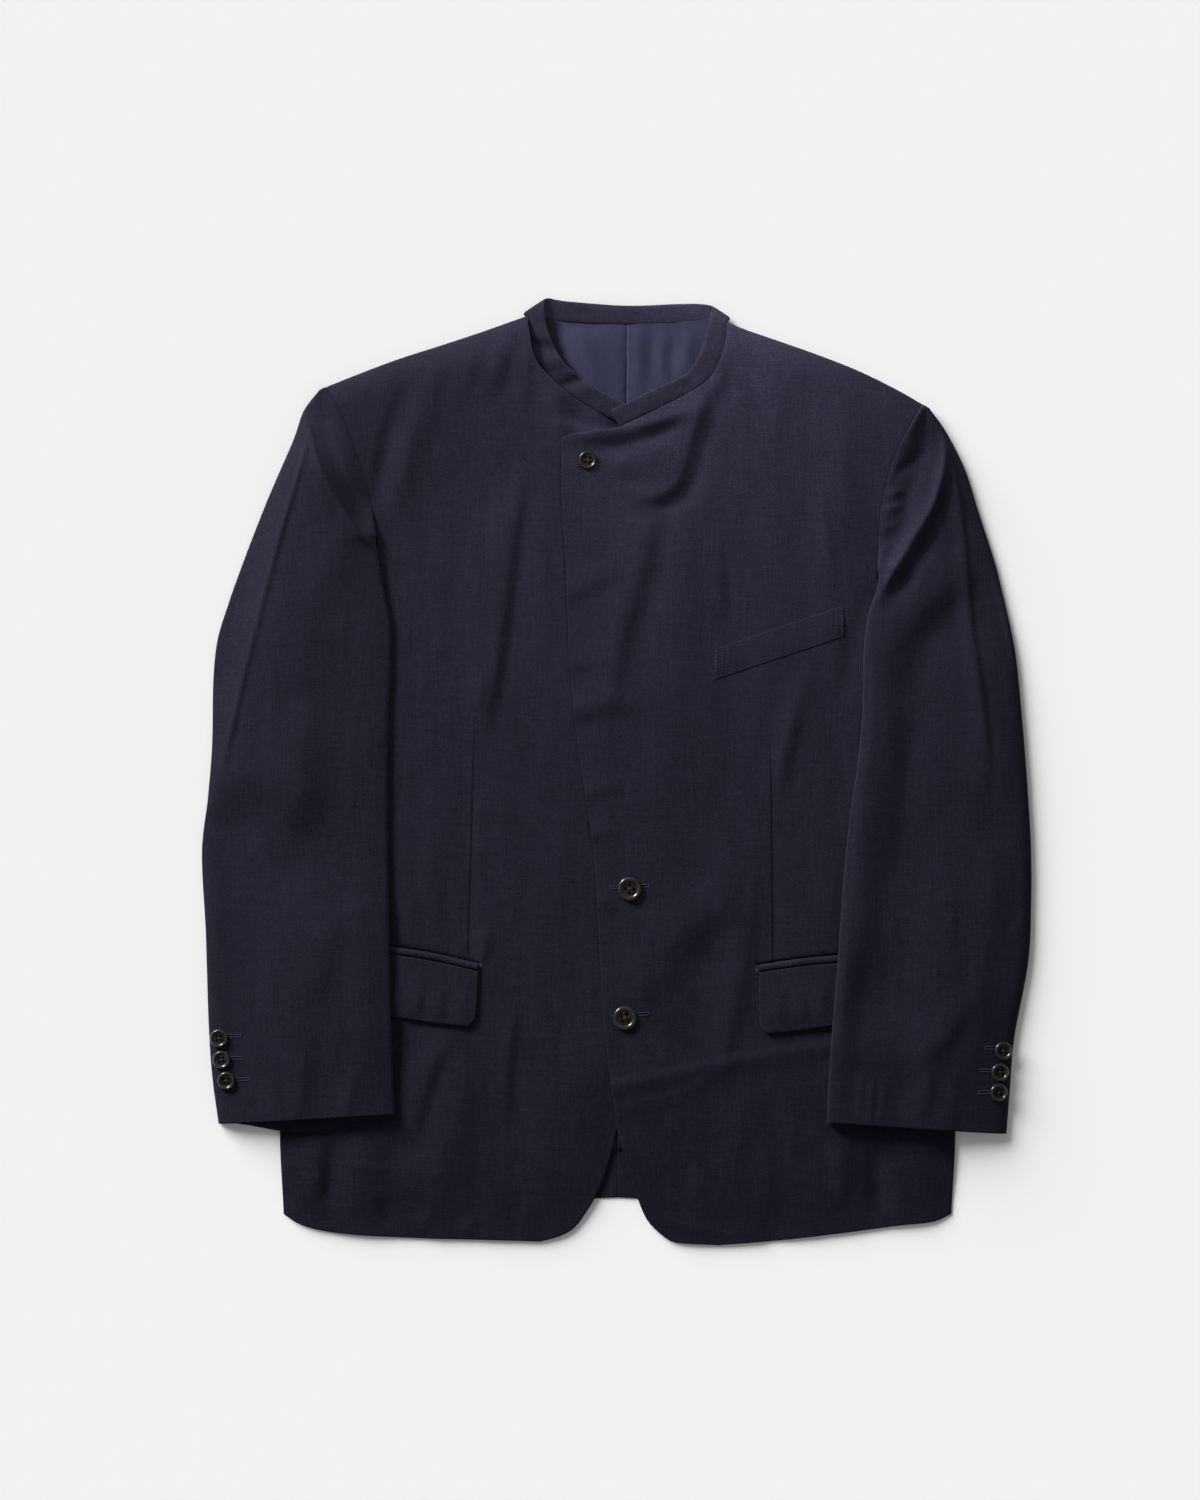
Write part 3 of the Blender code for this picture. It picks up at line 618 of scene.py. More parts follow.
def lining_half(cut):
    """Outline of half the back lining."""
    neck = smooth(LINING_NECK[cut.sign])
    foot = Vector((CENTRE_BACK[1][0], LINING_HEM_Y, 0))
    tip_x, tip_y = cut.shoulder[-1]
    inward = Vector((-cut.sign * LINING_INSET, 0, 0))
    armhole = [point + inward for point in smooth(cut.back_armhole)]
    side = [point + inward for point in smooth(cut.side)]
    corner = Vector((tip_x + inward.x, tip_y - LINING_INSET, 0))
    return closed(
        neck,
        [neck[-1], corner],
        [corner] + [point for point in armhole if point.y < corner.y],
        [armhole[-1]] + [point for point in side[1:] if point.y > LINING_HEM_Y],
        [Vector((side[-1].x, LINING_HEM_Y - LINING_HEM_DIP, 0)), foot],
        [foot, neck[0]],
    )


def lining_top(x, y):
    """Top of the lining, puckered along the centre seam and rippled inside the neck."""
    (top_x, top_y), (low_x, low_y) = CENTRE_BACK
    seam = x - np.interp(y, (low_y, top_y), (low_x, top_x))
    pucker = np.sin(y * math.tau / PUCKER_SPACING) + uneven(x, y, PUCKER_SPAN, PUCKER_SEED)
    sunk = np.where(seam < 0, bell(seam / SUNK_WIDTH), 0.0)
    z = LINING_TOP + PUCKER_HEIGHT * pucker * np.exp(-np.abs(seam) / PUCKER_WIDTH) - SUNK_DEPTH * sunk
    z = z + crease_height(LINING_CREASES, x, y) + LINING_UNEVEN * uneven(x, y, LINING_SPAN, LINING_SEED)
    z = z - LINING_NECK_LOW * soft_step((y - LINING_NECK_Y) / LINING_NECK_FADE)
    return np.maximum(z, WOOL + LINING_WALL)


lining = lining_cloth()
for side, cut in HALVES:
    outline = lining_half(cut)
    seam = [Vector((x, y, 0)) for x, y in CENTRE_BACK]
    sheet = lay(cut_panel(outline, LINING_CELL), outline, lining_top, seam)
    sew_sheet("lining_" + side, sheet, lining, "lining", LINING_WALL)

# Fronts, each cut in one piece of the wool with a long dart. The left one laps over the right one and
# buttons down, and both drape low to the shoulder and side seams.
SIDE_SEAM_Z = 2.0
FRONT_RISE = 4.4
LAP_LIFT = 3.1
SHOULDER_ROUND = 30.0
UNDER_ARM_ROUND = 20.0
UNDER_ARM_SHARE = 0.45
UNDER_ARM_Y = 150.0
HEM_Y = -398.0
HEM_FADE = 150.0
HEM_SHARE = 0.45
HEM_LOW = 2.2
HEM_LOW_FADE = 60.0
PAD_RISE = 6.0
PAD_ROUND = 24.0
PAD_FADE = 130.0
LAP_MARGIN = 4.0
LAP_FADE = 64.0
LAP_TOP_Y = 296.0
LAP_TOP_FADE = 26.0
LAP_HIDDEN = 1.4
HIDDEN_FADE = 8.0
WAVE_HEIGHT = 1.1
WAVE_SPAN = (38, 130)
RIPPLE_HEIGHT = 0.45
RIPPLE_SPAN = (14, 60)
RIPPLE_SEED = 7.0
FRONT_CELL = (3.0, 3.0)
DART_CUTS = (-3.0, -1.5, -0.6, 0.0, 0.6, 1.5, 3.0)
DART_WIDTH = (5.0, 0.7)
DART_DEPTH = 0.7
JET_SEAMS = {
    -1: ((-200, -145.0), (-188, -146.4), (-153, -151.9), (-113, -161.0)),
    1: ((200, -152.8), (185, -153.4), (153, -156.4), (117, -161.8)),
}
JET_CUTS = (-2.7, -1.8, -0.9, 0.0, 0.9, 1.8, 2.7)
JET_SEAM_WIDTH = 1.0
JET_SEAM_DEPTH = 1.3
DARTS = {-1: ((-118, 66), (-124, -152)), 1: ((129, 56), (131.5, -159))}
FRONT_FOLDS = (
    Crease(((-84, 227), (-94, 131), (-101, 66)), 17, 17, -2.0),
    Crease(((-104, 232), (-114, 140), (-122, 60)), 20, 20, 2.0),
    Crease(((-94, 366), (-116, 322)), 18, 18, 1.8),
    Crease(((-180, 315), (-186, 250), (-180, 180)), 20, 20, 1.8),
    Crease(((-239, -290), (-243, -375)), 15, 15, -1.4),
    Crease(((-214, -300), (-212, -385)), 16, 16, 1.6),
    Crease(((-146, -241), (-172, -303), (-186, -350)), 18, 18, -1.5),
    Crease(((-118, -230), (-140, -300), (-150, -380)), 18, 18, 1.8),
    Crease(((-84, -206), (-90, -323)), 18, 18, -1.2),
    Crease(((62, 305), (54, 278), (48, 241), (38, 222)), 20, 20, -2.2),
    Crease(((24, 292), (14, 240)), 24, 24, 3.4),
    Crease(((37, 214), (32, 157), (21, 117), (10, 63)), 17, 17, -1.8),
    Crease(((60, 235), (52, 160), (40, 90)), 18, 18, 1.6),
    Crease(((180, 320), (186, 250), (190, 170)), 22, 22, 1.8),
    Crease(((-5, -265), (73, -244), (150, -226)), 16, 16, 0.9),
    Crease(((111, -113), (59, -183)), 22, 22, -1.6),
    Crease(((84, -95), (30, -160)), 20, 20, 1.5),
    Crease(((216, -300), (222, -383)), 18, 18, -1.5),
)
FRONT_CREASES = {
    -1: (
        Crease(((-80, 262), (-84, 222), (-91, 165), (-98, 112), (-106, 58), (-112, 20)), 5, 15, 3.7),
        Crease(((-112, 90), (-114, 66), (-111, 50)), 4, 4, 1.3),
        Crease(((-176, 336), (-184, 302), (-192, 272), (-199, 240), (-203, 205)), 14, 7, -3.8),
        Crease(((-62, 305), (-40, 297), (-18, 290), (6, 285), (24, 281)), 17, 5, -3.4),
        Crease(((-56, 328), (-52, 306), (-47, 276), (-46, 250)), 5, 9, 2.4),
        Crease(((-30, 312), (-22, 298), (-14, 282), (-10, 262)), 5, 8, 2.4),
        Crease(((-80, 392), (-90, 364), (-99, 337), (-106, 300)), 5, 9, 2.4),
        Crease(((-104, 384), (-114, 358), (-124, 336), (-134, 296)), 6, 11, 1.9),
        Crease(((-70, 372), (-75, 340), (-79, 312), (-80, 280)), 5, 9, 1.7),
        Crease(((-136, 372), (-148, 340), (-157, 305), (-162, 262)), 7, 13, 1.8),
        Crease(((-165, 330), (-173, 275), (-182, 210)), 7, 14, 2.0),
        Crease(((-130, 250), (-140, 190), (-146, 130)), 10, 16, 1.2),
        Crease(((-60, 250), (-62, 190), (-56, 120)), 8, 12, 1.1),
        Crease(((-247, -294), (-248, -330), (-251, -370)), 5, 13, 3.0),
        Crease(((-136, -212), (-151, -240), (-163, -275), (-174, -320)), 6, 14, 3.0),
        Crease(((-85, -185), (-90, -240), (-95, -314)), 4, 11, 1.7),
        Crease(((-112, -124), (-110, -145), (-115, -168)), 3, 4, 1.7),
        Crease(((-234, -328), (-205, -332), (-180, -335)), 3, 4, 0.6),
        Crease(((-118, -370), (-126, -393)), 4, 6, 1.1),
        Crease(((-158, -366), (-166, -391)), 5, 6, 1.0),
        Crease(((-196, -352), (-192, -386)), 8, 7, -1.2),
        Crease(((-60, -300), (-58, -340), (-66, -385)), 6, 9, 1.1),
        Crease(((-150, -40), (-156, -90), (-150, -140)), 8, 12, 1.0),
    ),
    1: (
        Crease(((-64, 274), (-40, 279), (-20, 283), (2, 286), (30, 292), (56, 299), (76, 308)), 5, 5, 2.7),
        Crease(((-40, 266), (-18, 270), (3, 273), (26, 280), (48, 290), (66, 302)), 5, 9, -3.8),
        Crease(((86, 345), (74, 314), (64, 285), (54, 252), (46, 238), (30, 231), (-4, 230)), 7, 24, 4.4),
        Crease(((88, 334), (77, 302), (68, 272), (60, 244), (51, 230), (32, 222), (4, 222)), 10, 5, -2.4),
        Crease(((90, 364), (88, 335), (83, 304)), 5, 7, 2.2),
        Crease(((32, 244), (28, 218), (22, 178), (14, 150), (5, 119), (-3, 75), (-8, 40)), 9, 15, 3.0),
        Crease(((86, 216), (87, 165), (88, 114)), 4, 9, 1.2),
        Crease(((166, 250), (176, 200), (186, 140)), 4, 10, 1.3),
        Crease(((126, 350), (132, 300), (128, 240)), 7, 12, 1.3),
        Crease(((163, 98), (150, 50), (138, 0), (132, -40)), 7, 9, 2.2),
        Crease(((205, 150), (198, 100), (192, 50)), 8, 8, -1.7),
        Crease(((-84, 142), (-60, 146), (-34, 152), (-8, 166), (10, 182)), 12, 8, 1.5),
        Crease(((-80, 90), (-54, 90), (-28, 92), (4, 104)), 12, 9, 1.1),
        Crease(((-86, 42), (-58, 47), (-30, 52), (-2, 58), (34, 52)), 13, 9, 2.2),
        Crease(((-70, -24), (-46, -20), (-20, -17), (8, -8)), 10, 6, 1.2),
        Crease(((-66, -62), (-42, -57), (-16, -52), (12, -46)), 9, 6, 1.3),
        Crease(((-62, -114), (-36, -112), (-10, -110), (14, -114)), 9, 7, 1.2),
        Crease(((118, -46), (92, -94), (60, -140), (22, -180), (-18, -208)), 17, 26, 1.7),
        Crease(((113, -74), (109, -125), (103, -170), (92, -222), (80, -262)), 8, 15, 1.8),
        Crease(
            ((-48, -275), (-3, -263), (40, -254), (91, -243), (140, -235), (190, -228), (240, -220)),
            3.5, 9, 1.2,
        ),
        Crease(((-20, -288), (10, -280), (48, -270), (88, -250), (110, -240)), 4, 9, 0.7),
        Crease(((24, -370), (60, -382), (110, -391)), 4, 5, 0.8),
        Crease(((216, -300), (220, -345), (222, -383)), 6, 9, -2.0),
        Crease(((184, -298), (188, -330), (186, -374)), 8, 8, 1.7),
        Crease(((120, -300), (128, -350), (126, -390)), 9, 9, 1.1),
        Crease(((66, -310), (60, -350), (58, -392)), 7, 9, -1.0),
    ),
}


def edge_x(points, y):
    """Where an edge that runs up or down crosses the height y."""
    rows = sorted((p.y, p.x) for p in points)
    return np.interp(y, [row[0] for row in rows], [row[1] for row in rows])


def hand(x, y, seed):
    """The slight unevenness of soft cloth that was laid by hand."""
    waves = WAVE_HEIGHT * uneven(x, y, WAVE_SPAN, seed)
    return waves + RIPPLE_HEIGHT * uneven(x, y, RIPPLE_SPAN, seed + RIPPLE_SEED)


def pad_height(cut, x, y):
    """Swell of the padded shoulder, which falls away to the shoulder line and down the chest."""
    gap = beside(smooth(cut.shoulder), x, y)[0]
    return PAD_RISE * quarter_round(gap / PAD_ROUND) * (1.0 - soft_step((gap - PAD_ROUND) / PAD_FADE))


def front_top(cut, x, y):
    """Top of a front, low along the shoulder and side seams and under the arm."""
    rim = np.minimum(beside(smooth(cut.shoulder), x, y)[0], beside(smooth(cut.side), x, y)[0])
    under_arm = [point for point in smooth(cut.armhole) if point.y < UNDER_ARM_Y]
    hem = soft_step((y - HEM_Y) / HEM_FADE)
    rise = FRONT_RISE * (HEM_SHARE + (1.0 - HEM_SHARE) * hem)
    arm = np.maximum(quarter_round(beside(under_arm, x, y)[0] / UNDER_ARM_ROUND), UNDER_ARM_SHARE)
    inside = np.minimum(quarter_round(rim / SHOULDER_ROUND), arm)
    folds = crease_height(FRONT_FOLDS + FRONT_CREASES[cut.sign], x, y) + hand(x, y, cut.sign)
    gap, share, turn = beside(smooth(DARTS[cut.sign]), x, y)
    width = np.where(turn > 0, DART_WIDTH[0], DART_WIDTH[1])
    sunk = -DART_DEPTH * bell(gap / width) * soft_step(share / FOLD_ENDS)
    jet_gap = beside(smooth(JET_SEAMS[cut.sign]), x, y)[0]
    sunk = sunk - JET_SEAM_DEPTH * bell(jet_gap / JET_SEAM_WIDTH)
    hem_gap = beside(smooth(cut.hem) + smooth(cut.front_curve)[1:], x, y)[0]
    low = HEM_LOW * (1.0 - soft_step(hem_gap / HEM_LOW_FADE))
    return WOOL + SIDE_SEAM_Z + (rise + folds) * inside + pad_height(cut, x, y) + sunk - low


def right_top(x, y):
    """Top of the right front, pressed flat where the left one covers it."""
    over = edge_x(smooth(LEFT.front_curve) + smooth(LEFT.front_edge)[1:], y)
    return front_top(RIGHT, x, y) - LAP_HIDDEN * soft_step((x - over - LAP_MARGIN) / HIDDEN_FADE)


def left_top(x, y):
    """Top of the left front, lifted where it lies over the right one."""
    under = edge_x(smooth(RIGHT.front_curve) + smooth(RIGHT.front_edge)[1:], y)
    lap = 1.0 - soft_step((x - under - LAP_MARGIN) / LAP_FADE)
    lap = lap * (1.0 - soft_step((y - LAP_TOP_Y) / LAP_TOP_FADE))
    return front_top(LEFT, x, y) + LAP_LIFT * lap


def front_outline(cut):
    """Outline of a front."""
    return closed(
        smooth(cut.shoulder),
        smooth(cut.armhole),
        smooth(cut.side),
        smooth(cut.hem),
        smooth(cut.front_curve),
        smooth(cut.front_edge),
        smooth(cut.lap_top),
        smooth(cut.neck),
    )


def cut_along(bm, line, offsets):
    """Cut a panel's faces close beside a straight line, so that a narrow seam shows."""
    start, end = (Vector((x, y, 0)) for x, y in line)
    run = (end - start).normalized()
    across = Vector((run.y, -run.x, 0))
    reach = max(offsets) + FRONT_CELL[0]
    for offset in offsets:
        faces = []
        for face in bm.faces:
            step = face.calc_center_bounds() - start
            if abs(step.dot(across)) < reach and 0 < step.dot(run) < (end - start).length:
                faces.append(face)
        place = start + across * offset
        bmesh.ops.bisect_plane(bm, geom=parts_of(faces), dist=SNAP, plane_co=place, plane_no=across)


fronts = {}
for side, cut in HALVES:
    outline = front_outline(cut)
    sheet = cut_panel(outline, FRONT_CELL)
    cut_along(sheet, DARTS[cut.sign], DART_CUTS)
    cut_along(sheet, (JET_SEAMS[cut.sign][0], JET_SEAMS[cut.sign][-1]), JET_CUTS)
    top = right_top if cut is RIGHT else left_top
    sheet = lay(sheet, outline, top, smooth(cut.armhole))
    fronts[side] = sew_sheet("front_" + side, sheet, wool, "wool")

# Sleeves, each of a top and an under piece joined along the forearm and the hind arm. The top one is
# eased into the armhole at the shoulder, and the sleeve lies over the front and down to the floor.
SLEEVE_FLOOR_Z = 0.3
SLEEVE_BODY_Z = 8.4
SLEEVE_LIFT = 3.0
SLEEVE_CROWN = 3.8
FLAP_BUMP = 2.6
SEAT_GAP = 0.4
COVER_START = -26.0
COVER_FADE = 78.0
BUMP_SPAN = 30.0
BUMP_FADE = 75.0
JOIN_FROM = 0.45
FULLNESS = {-1: 4.5, 1: 4.0}
FULL_FROM = {-1: -20.0, 1: 190.0}
FULL_FADE = 130.0
FULL_ROUND = 12.0
FULL_SPAN = 95.0
ROLL_FADE = 30.0
EDGE_FULLNESS = {-1: 0.45, 1: 0.2}
EDGE_POWER = {-1: 3.0, 1: 10.0}
EDGE_EASE = 9.0
DROP_FROM = 0.94
OPEN_ARM_Y = 132.0
OPEN_ARM_FADE = 28.0
BACK_MARGIN = 4.0
BACK_FADE = 24.0
SLEEVE_SEED = 4.0
SLEEVE_GRID = (90, 230)
UNDER_GRID = (30, 100)
SleeveRow = namedtuple("SleeveRow", "seam_x seam_y outer_x outer_y under")
Pocket = namedtuple("Pocket", "top edge low")
SLEEVES = {
    -1: (
        SleeveRow(-243.6, 322.6, -249.8, 319.0, 0.5),
        SleeveRow(-231, 299.5, -262.5, 302.5, 0.87),
        SleeveRow(-219.2, 270, -271.5, 277.5, 0.81),
        SleeveRow(-208.7, 238, -290, 235, 0.79),
        SleeveRow(-203.8, 211, -303.5, 201.5, 0.77),
        SleeveRow(-201, 188, -316.3, 167.6, 0.76),
        SleeveRow(-195.7, 155, -326, 140, 0.69),
        SleeveRow(-190, 125, -335, 110, 0.88),
        SleeveRow(-189.4, 95, -338.5, 75, 1),
        SleeveRow(-191.5, 50, -339.5, 22, 1),
        SleeveRow(-192.3, 0, -343, -22, 1),
        SleeveRow(-191.6, -65, -348, -68, 1),
        SleeveRow(-190.5, -135, -344.8, -135, 1),
        SleeveRow(-188.8, -205, -342.4, -210, 1),
        SleeveRow(-187.5, -255, -339.4, -255, 1),
        SleeveRow(-186, -286.7, -334, -295.3, 1),
    ),
    1: (
        SleeveRow(256.6, 308.2, 262.6, 304.0, 0.5),
        SleeveRow(244.8, 287, 272.5, 291, 0.86),
        SleeveRow(234.6, 267.5, 281, 277, 0.79),
        SleeveRow(227.3, 243, 293, 252, 0.78),
        SleeveRow(222.5, 224.5, 304, 217, 0.785),
        SleeveRow(219.6, 184, 317, 177, 0.777),
        SleeveRow(218.6, 157.5, 324.5, 147, 0.74),
        SleeveRow(211, 132, 331.5, 117, 0.86),
        SleeveRow(207, 103, 336, 90, 1),
        SleeveRow(206, 50, 341, 38, 1),
        SleeveRow(202, 8, 344.4, -6, 1),
        SleeveRow(195, -41, 347.7, -60, 1),
        SleeveRow(189, -104, 348, -110, 1),
        SleeveRow(185, -160, 345.5, -160, 1),
        SleeveRow(180, -221, 334, -222, 1),
        SleeveRow(177.5, -262, 330.2, -265, 1),
        SleeveRow(176, -293.6, 327.2, -303.6, 1),
    ),
}
SLEEVE_FOLDS = {
    -1: (
        Crease(((-257, 300), (-246, 258), (-232, 228), (-216, 202), (-200, 187)), 6, 24, 4.0),
        Crease(
            ((-252, 304), (-263, 256), (-278, 206), (-296, 138), (-315, 62), (-329, 0), (-338, -50)),
            70, 18, 10.0,
        ),
        Crease(((-262, -35), (-296, -100)), 24, 24, -1.6),
        Crease(((-215, 60), (-225, -60)), 22, 22, 1.4),
    ),
    1: (
        Crease(((273, 290), (275, 266), (266, 226), (246, 193), (221, 152), (212, 135)), 14, 7, 4.4),
        Crease(
            ((279, 290), (290, 224), (296, 178), (302, 119), (311, 56), (315, -8), (316, -50)),
            24, 32, 2.4,
        ),
        Crease(((279, 141), (247, 104), (228, 36)), 20, 20, -1.6),
        Crease(((240, -60), (222, -180)), 22, 22, 1.4),
    ),
}
SLEEVE_CREASES = {
    -1: (
        Crease(
            ((-264, 308), (-256, 284), (-247, 254), (-229, 222), (-213, 197), (-196, 186), (-180, 176)),
            2.2, 3.4, 3.4,
        ),
        Crease(((-250, 306), (-238, 266), (-225, 236), (-211, 206), (-200, 186)), 7, 8, -2.6),
        Crease(((-262, 302), (-260, 280), (-258, 250)), 4, 3, 1.0),
        Crease(((-252, 304), (-264, 256), (-279, 206), (-297, 138), (-316, 62), (-331, -6)), 3, 2.5, 1.9),
        Crease(((-240, 172), (-236, 142), (-234, 112)), 14, 14, -1.3),
        Crease(((-258, 70), (-262, 30), (-268, -20), (-284, -60), (-306, -100)), 20, 24, 3.2),
        Crease(((-238, -121), (-220, -116), (-201, -112)), 2.5, 3.5, 0.7),
        Crease(((-232, -110), (-242, -140), (-256, -200)), 12, 18, 1.9),
        Crease(((-288, -222), (-286, -260), (-284, -300)), 5, 8, 0.9),
        Crease(((-260, -222), (-264, -260), (-268, -300)), 6, 9, 1.0),
        Crease(((-220, -246), (-224, -274), (-228, -300)), 5, 7, 1.2),
        Crease(((-212, -60), (-214, -160), (-208, -260)), 9, 9, 0.9),
    ),
    1: (
        Crease(((272, 306), (275, 268), (266, 226), (246, 193), (221, 152), (205, 128)), 4, 3, 2.6),
        Crease(((258, 292), (253, 262), (243, 228), (237, 203), (228, 175), (218, 150)), 8, 10, -2.4),
        Crease(((282, 280), (277, 240), (263, 200), (247, 171), (228, 142), (216, 124)), 8, 6, -3.3),
        Crease(((276, 290), (287, 224), (292, 178), (297, 119), (306, 56), (313, -16)), 3, 7, 1.6),
        Crease(
            ((300, 176), (266, 146), (239, 118), (224, 80), (218, 40), (211, -20), (206, -80)),
            14, 24, 1.5,
        ),
        Crease(
            (
                (324, 174), (296, 144), (270, 114), (259, 80), (254, 40), (246, -20), (239, -80),
                (217, -180), (208, -240),
            ),
            44, 20, -4.8,
        ),
        Crease(((214, -10), (206, -80), (196, -140), (187, -200), (181, -264)), 13, 20, 1.2),
        Crease(((310, -172), (280, -214), (246, -256)), 8, 15, 1.7),
        Crease(((316, -40), (313, -130), (306, -190), (308, -250)), 12, 12, 1.4),
        Crease(((215, -250), (213, -275), (211, -304)), 3, 4, 1.3),
        Crease(((224, -252), (222, -278), (220, -304)), 3, 3, 1.0),
        Crease(((205, -246), (204, -272), (202, -300)), 4, 4, 1.0),
        Crease(((267, -236), (258, -268), (248, -306)), 7, 10, 1.3),
        Crease(((288, -232), (283, -268), (277, -310)), 8, 10, 1.2),
        Crease(((212, 233), (228, 233), (246, 236)), 3, 4, 1.2),
        Crease(((211, 219), (226, 220), (244, 224)), 3, 4, 1.3),
        Crease(((210, 203), (225, 205), (241, 209)), 3, 4, 1.2),
        Crease(((209, 186), (222, 188), (236, 191)), 3, 4, 1.1),
        Crease(((266, 274), (246, 258), (226, 240)), 5, 6, -1.6),
        Crease(((262, 60), (268, 0), (262, -60)), 12, 16, 1.2),
    ),
}
SLEEVE_ROLLS_Y = {-1: 196.0, 1: 168.0}
CUFF_DROP = {-1: 11.0, 1: 0.0}
POCKETS = {
    -1: Pocket(
        top=((-262, -147.3), (-188, -153.3), (-153, -158.8), (-115.8, -167.2)),
        edge=((-115.8, -167.2), (-117.4, -200), (-119, -208), (-125, -213.5)),
        low=((-125, -213.5), (-160, -209.5), (-188, -205), (-262, -198)),
    ),
    1: Pocket(
        top=((262, -156.3), (185, -160.3), (153, -163.3), (119.6, -168.2)),
        edge=((119.6, -168.2), (120, -208), (122, -216), (127, -219.5)),
        low=((127, -219.5), (155, -216.5), (185, -212.5), (262, -207)),
    ),
}


def read_rows(table, share):
    """Rows of a table read smoothly at shares of its length, a column to each name."""
    rows = np.array(table)
    place = share * (len(rows) - 1)
    i = np.minimum(place.astype(int), len(rows) - 2)
    f = (place - i)[:, None]
    a, b, c, d = (rows[np.clip(i + k, 0, len(rows) - 1)] for k in (-1, 0, 1, 2))
    bend = c - a + f * (2 * a - 5 * b + 4 * c - d + f * (3 * (b - c) + d - a))
    return (b + 0.5 * f * bend).T


def sleeve_floor(cut, x, y, open_arm=0.0):
    """What a sleeve lies on: the body as far as its crest, then the back and the floor."""
    body = edge_x(smooth(cut.crest[:-1] + cut.side[1:]), y)
    outside = cut.sign * (x - body)
    cover = 1.0 - soft_step((outside - COVER_START) / COVER_FADE)
    cover = cover * (1.0 - open_arm * soft_step((y - OPEN_ARM_Y) / OPEN_ARM_FADE))
    pocket = POCKETS[cut.sign]
    middle = [a.lerp(b, 0.5) for a, b in zip(smooth(pocket.top), reversed(smooth(pocket.low)))]
    bump = 1.0 - soft_step((beside(middle, x, y)[0] - BUMP_SPAN) / BUMP_FADE)
    z = SLEEVE_FLOOR_Z + cover * (SLEEVE_BODY_Z - SLEEVE_FLOOR_Z + FLAP_BUMP * bump)
    back = edge_x(smooth(cut.back_armhole[:-1] + cut.side[1:]), y)
    on_back = 1.0 - soft_step((cut.sign * (x - back) - BACK_MARGIN) / BACK_FADE)
    return np.maximum(z, on_back * (WOOL + 2 * SEAT_GAP))


def seam_beside(cut, x, y):
    """Keep a sleeve's edge on the armhole of its front, down to where it rolls over the front."""
    return np.where(y < SLEEVE_ROLLS_Y[cut.sign], x, edge_x(smooth(cut.armhole), y))


def sleeve_top(cut, u, v):
    """Places on a top sleeve, u from the outer edge and v from the shoulder."""
    row = SleeveRow(*read_rows(SLEEVES[cut.sign], v))
    seam_x = seam_beside(cut, row.seam_x, row.seam_y)
    x = row.outer_x + u * (seam_x - row.outer_x)
    y = row.outer_y + u * (row.seam_y - row.outer_y)
    width = np.hypot(seam_x - row.outer_x, row.seam_y - row.outer_y)
    sewn = soft_step((row.seam_y - SLEEVE_ROLLS_Y[cut.sign]) / ROLL_FADE) * (u > 0.5)
    side = np.abs(2.0 * u - 1.0)
    power = np.where(u > 0.5, EDGE_POWER[cut.sign], EDGE_POWER[-1])
    fullness = np.where(u > 0.5, EDGE_FULLNESS[cut.sign], EDGE_FULLNESS[-1])
    round_over = (1.0 - sewn) * (1.0 - side**power) ** fullness + sewn * (1.0 - side**2)
    folds = crease_height(SLEEVE_FOLDS[cut.sign], x, y) + hand(x, y, SLEEVE_SEED + cut.sign)
    edge = np.minimum(u, 1.0 - u) * width
    creases = soft_step(edge / EDGE_EASE) * crease_height(SLEEVE_CREASES[cut.sign], x, y)
    full = quarter_round(u * width / FULL_ROUND) * (1.0 - soft_step(u * width / FULL_SPAN))
    full = FULLNESS[cut.sign] * full * soft_step((FULL_FROM[cut.sign] - y) / FULL_FADE)
    z = sleeve_floor(cut, x, y) + SLEEVE_LIFT + full + round_over * (SLEEVE_CROWN + folds) + creases
    step = front_top(cut, seam_x, row.seam_y) - sleeve_floor(cut, seam_x, row.seam_y) - SLEEVE_LIFT
    z = z + sewn * soft_step((u - JOIN_FROM) / (1.0 - JOIN_FROM)) * step
    return x, y, z - np.where(sewn > 0, SEAM_DROP, EDGE_DROP) * (1.0 - quarter_round(edge / EDGE_ROUND))


def sleeve_under(cut, u, v):
    """Places on an under sleeve."""
    row = SleeveRow(*read_rows(SLEEVES[cut.sign], v))
    share = u * row.under
    fall = soft_step((v - DROP_FROM) / (1.0 - DROP_FROM)) * np.sin(math.pi * u) ** 2
    x = row.outer_x + share * (row.seam_x - row.outer_x)
    y = row.outer_y + share * (row.seam_y - row.outer_y) - CUFF_DROP[cut.sign] * fall
    return x, y, WOOL + sleeve_floor(cut, x, y, open_arm=1.0)


def spread(place, grid):
    """A sheet of columns and rows, placed by a function of the shares across and along it."""
    bm = bmesh.new()
    bmesh.ops.create_grid(bm, x_segments=grid[0], y_segments=grid[1], size=0.5)
    u = np.array([vert.co.x + 0.5 for vert in bm.verts])
    v = np.array([0.5 - vert.co.y for vert in bm.verts])
    for vert, point in zip(bm.verts, zip(*place(np.clip(u, 0.0, 1.0), np.clip(v, 0.0, 1.0)))):
        vert.co = point
    return bm


def loft(place, grid):
    """A sheet with its columns closer together at its sides."""
    return spread(lambda u, v: place((1.0 - np.cos(u * math.pi)) / 2.0, v), grid)


sleeves = {}
for side, cut in HALVES:
    under = "sleeve_" + side + "_under"
    sheet = loft(lambda u, v: sleeve_under(cut, u, v), UNDER_GRID)
    sew_sheet(under, sheet, wool, "wool")
    sheet = loft(lambda u, v: sleeve_top(cut, u, v), SLEEVE_GRID)
    sleeves[side] = sew_sheet("sleeve_" + side + "_top", sheet, wool, "wool")

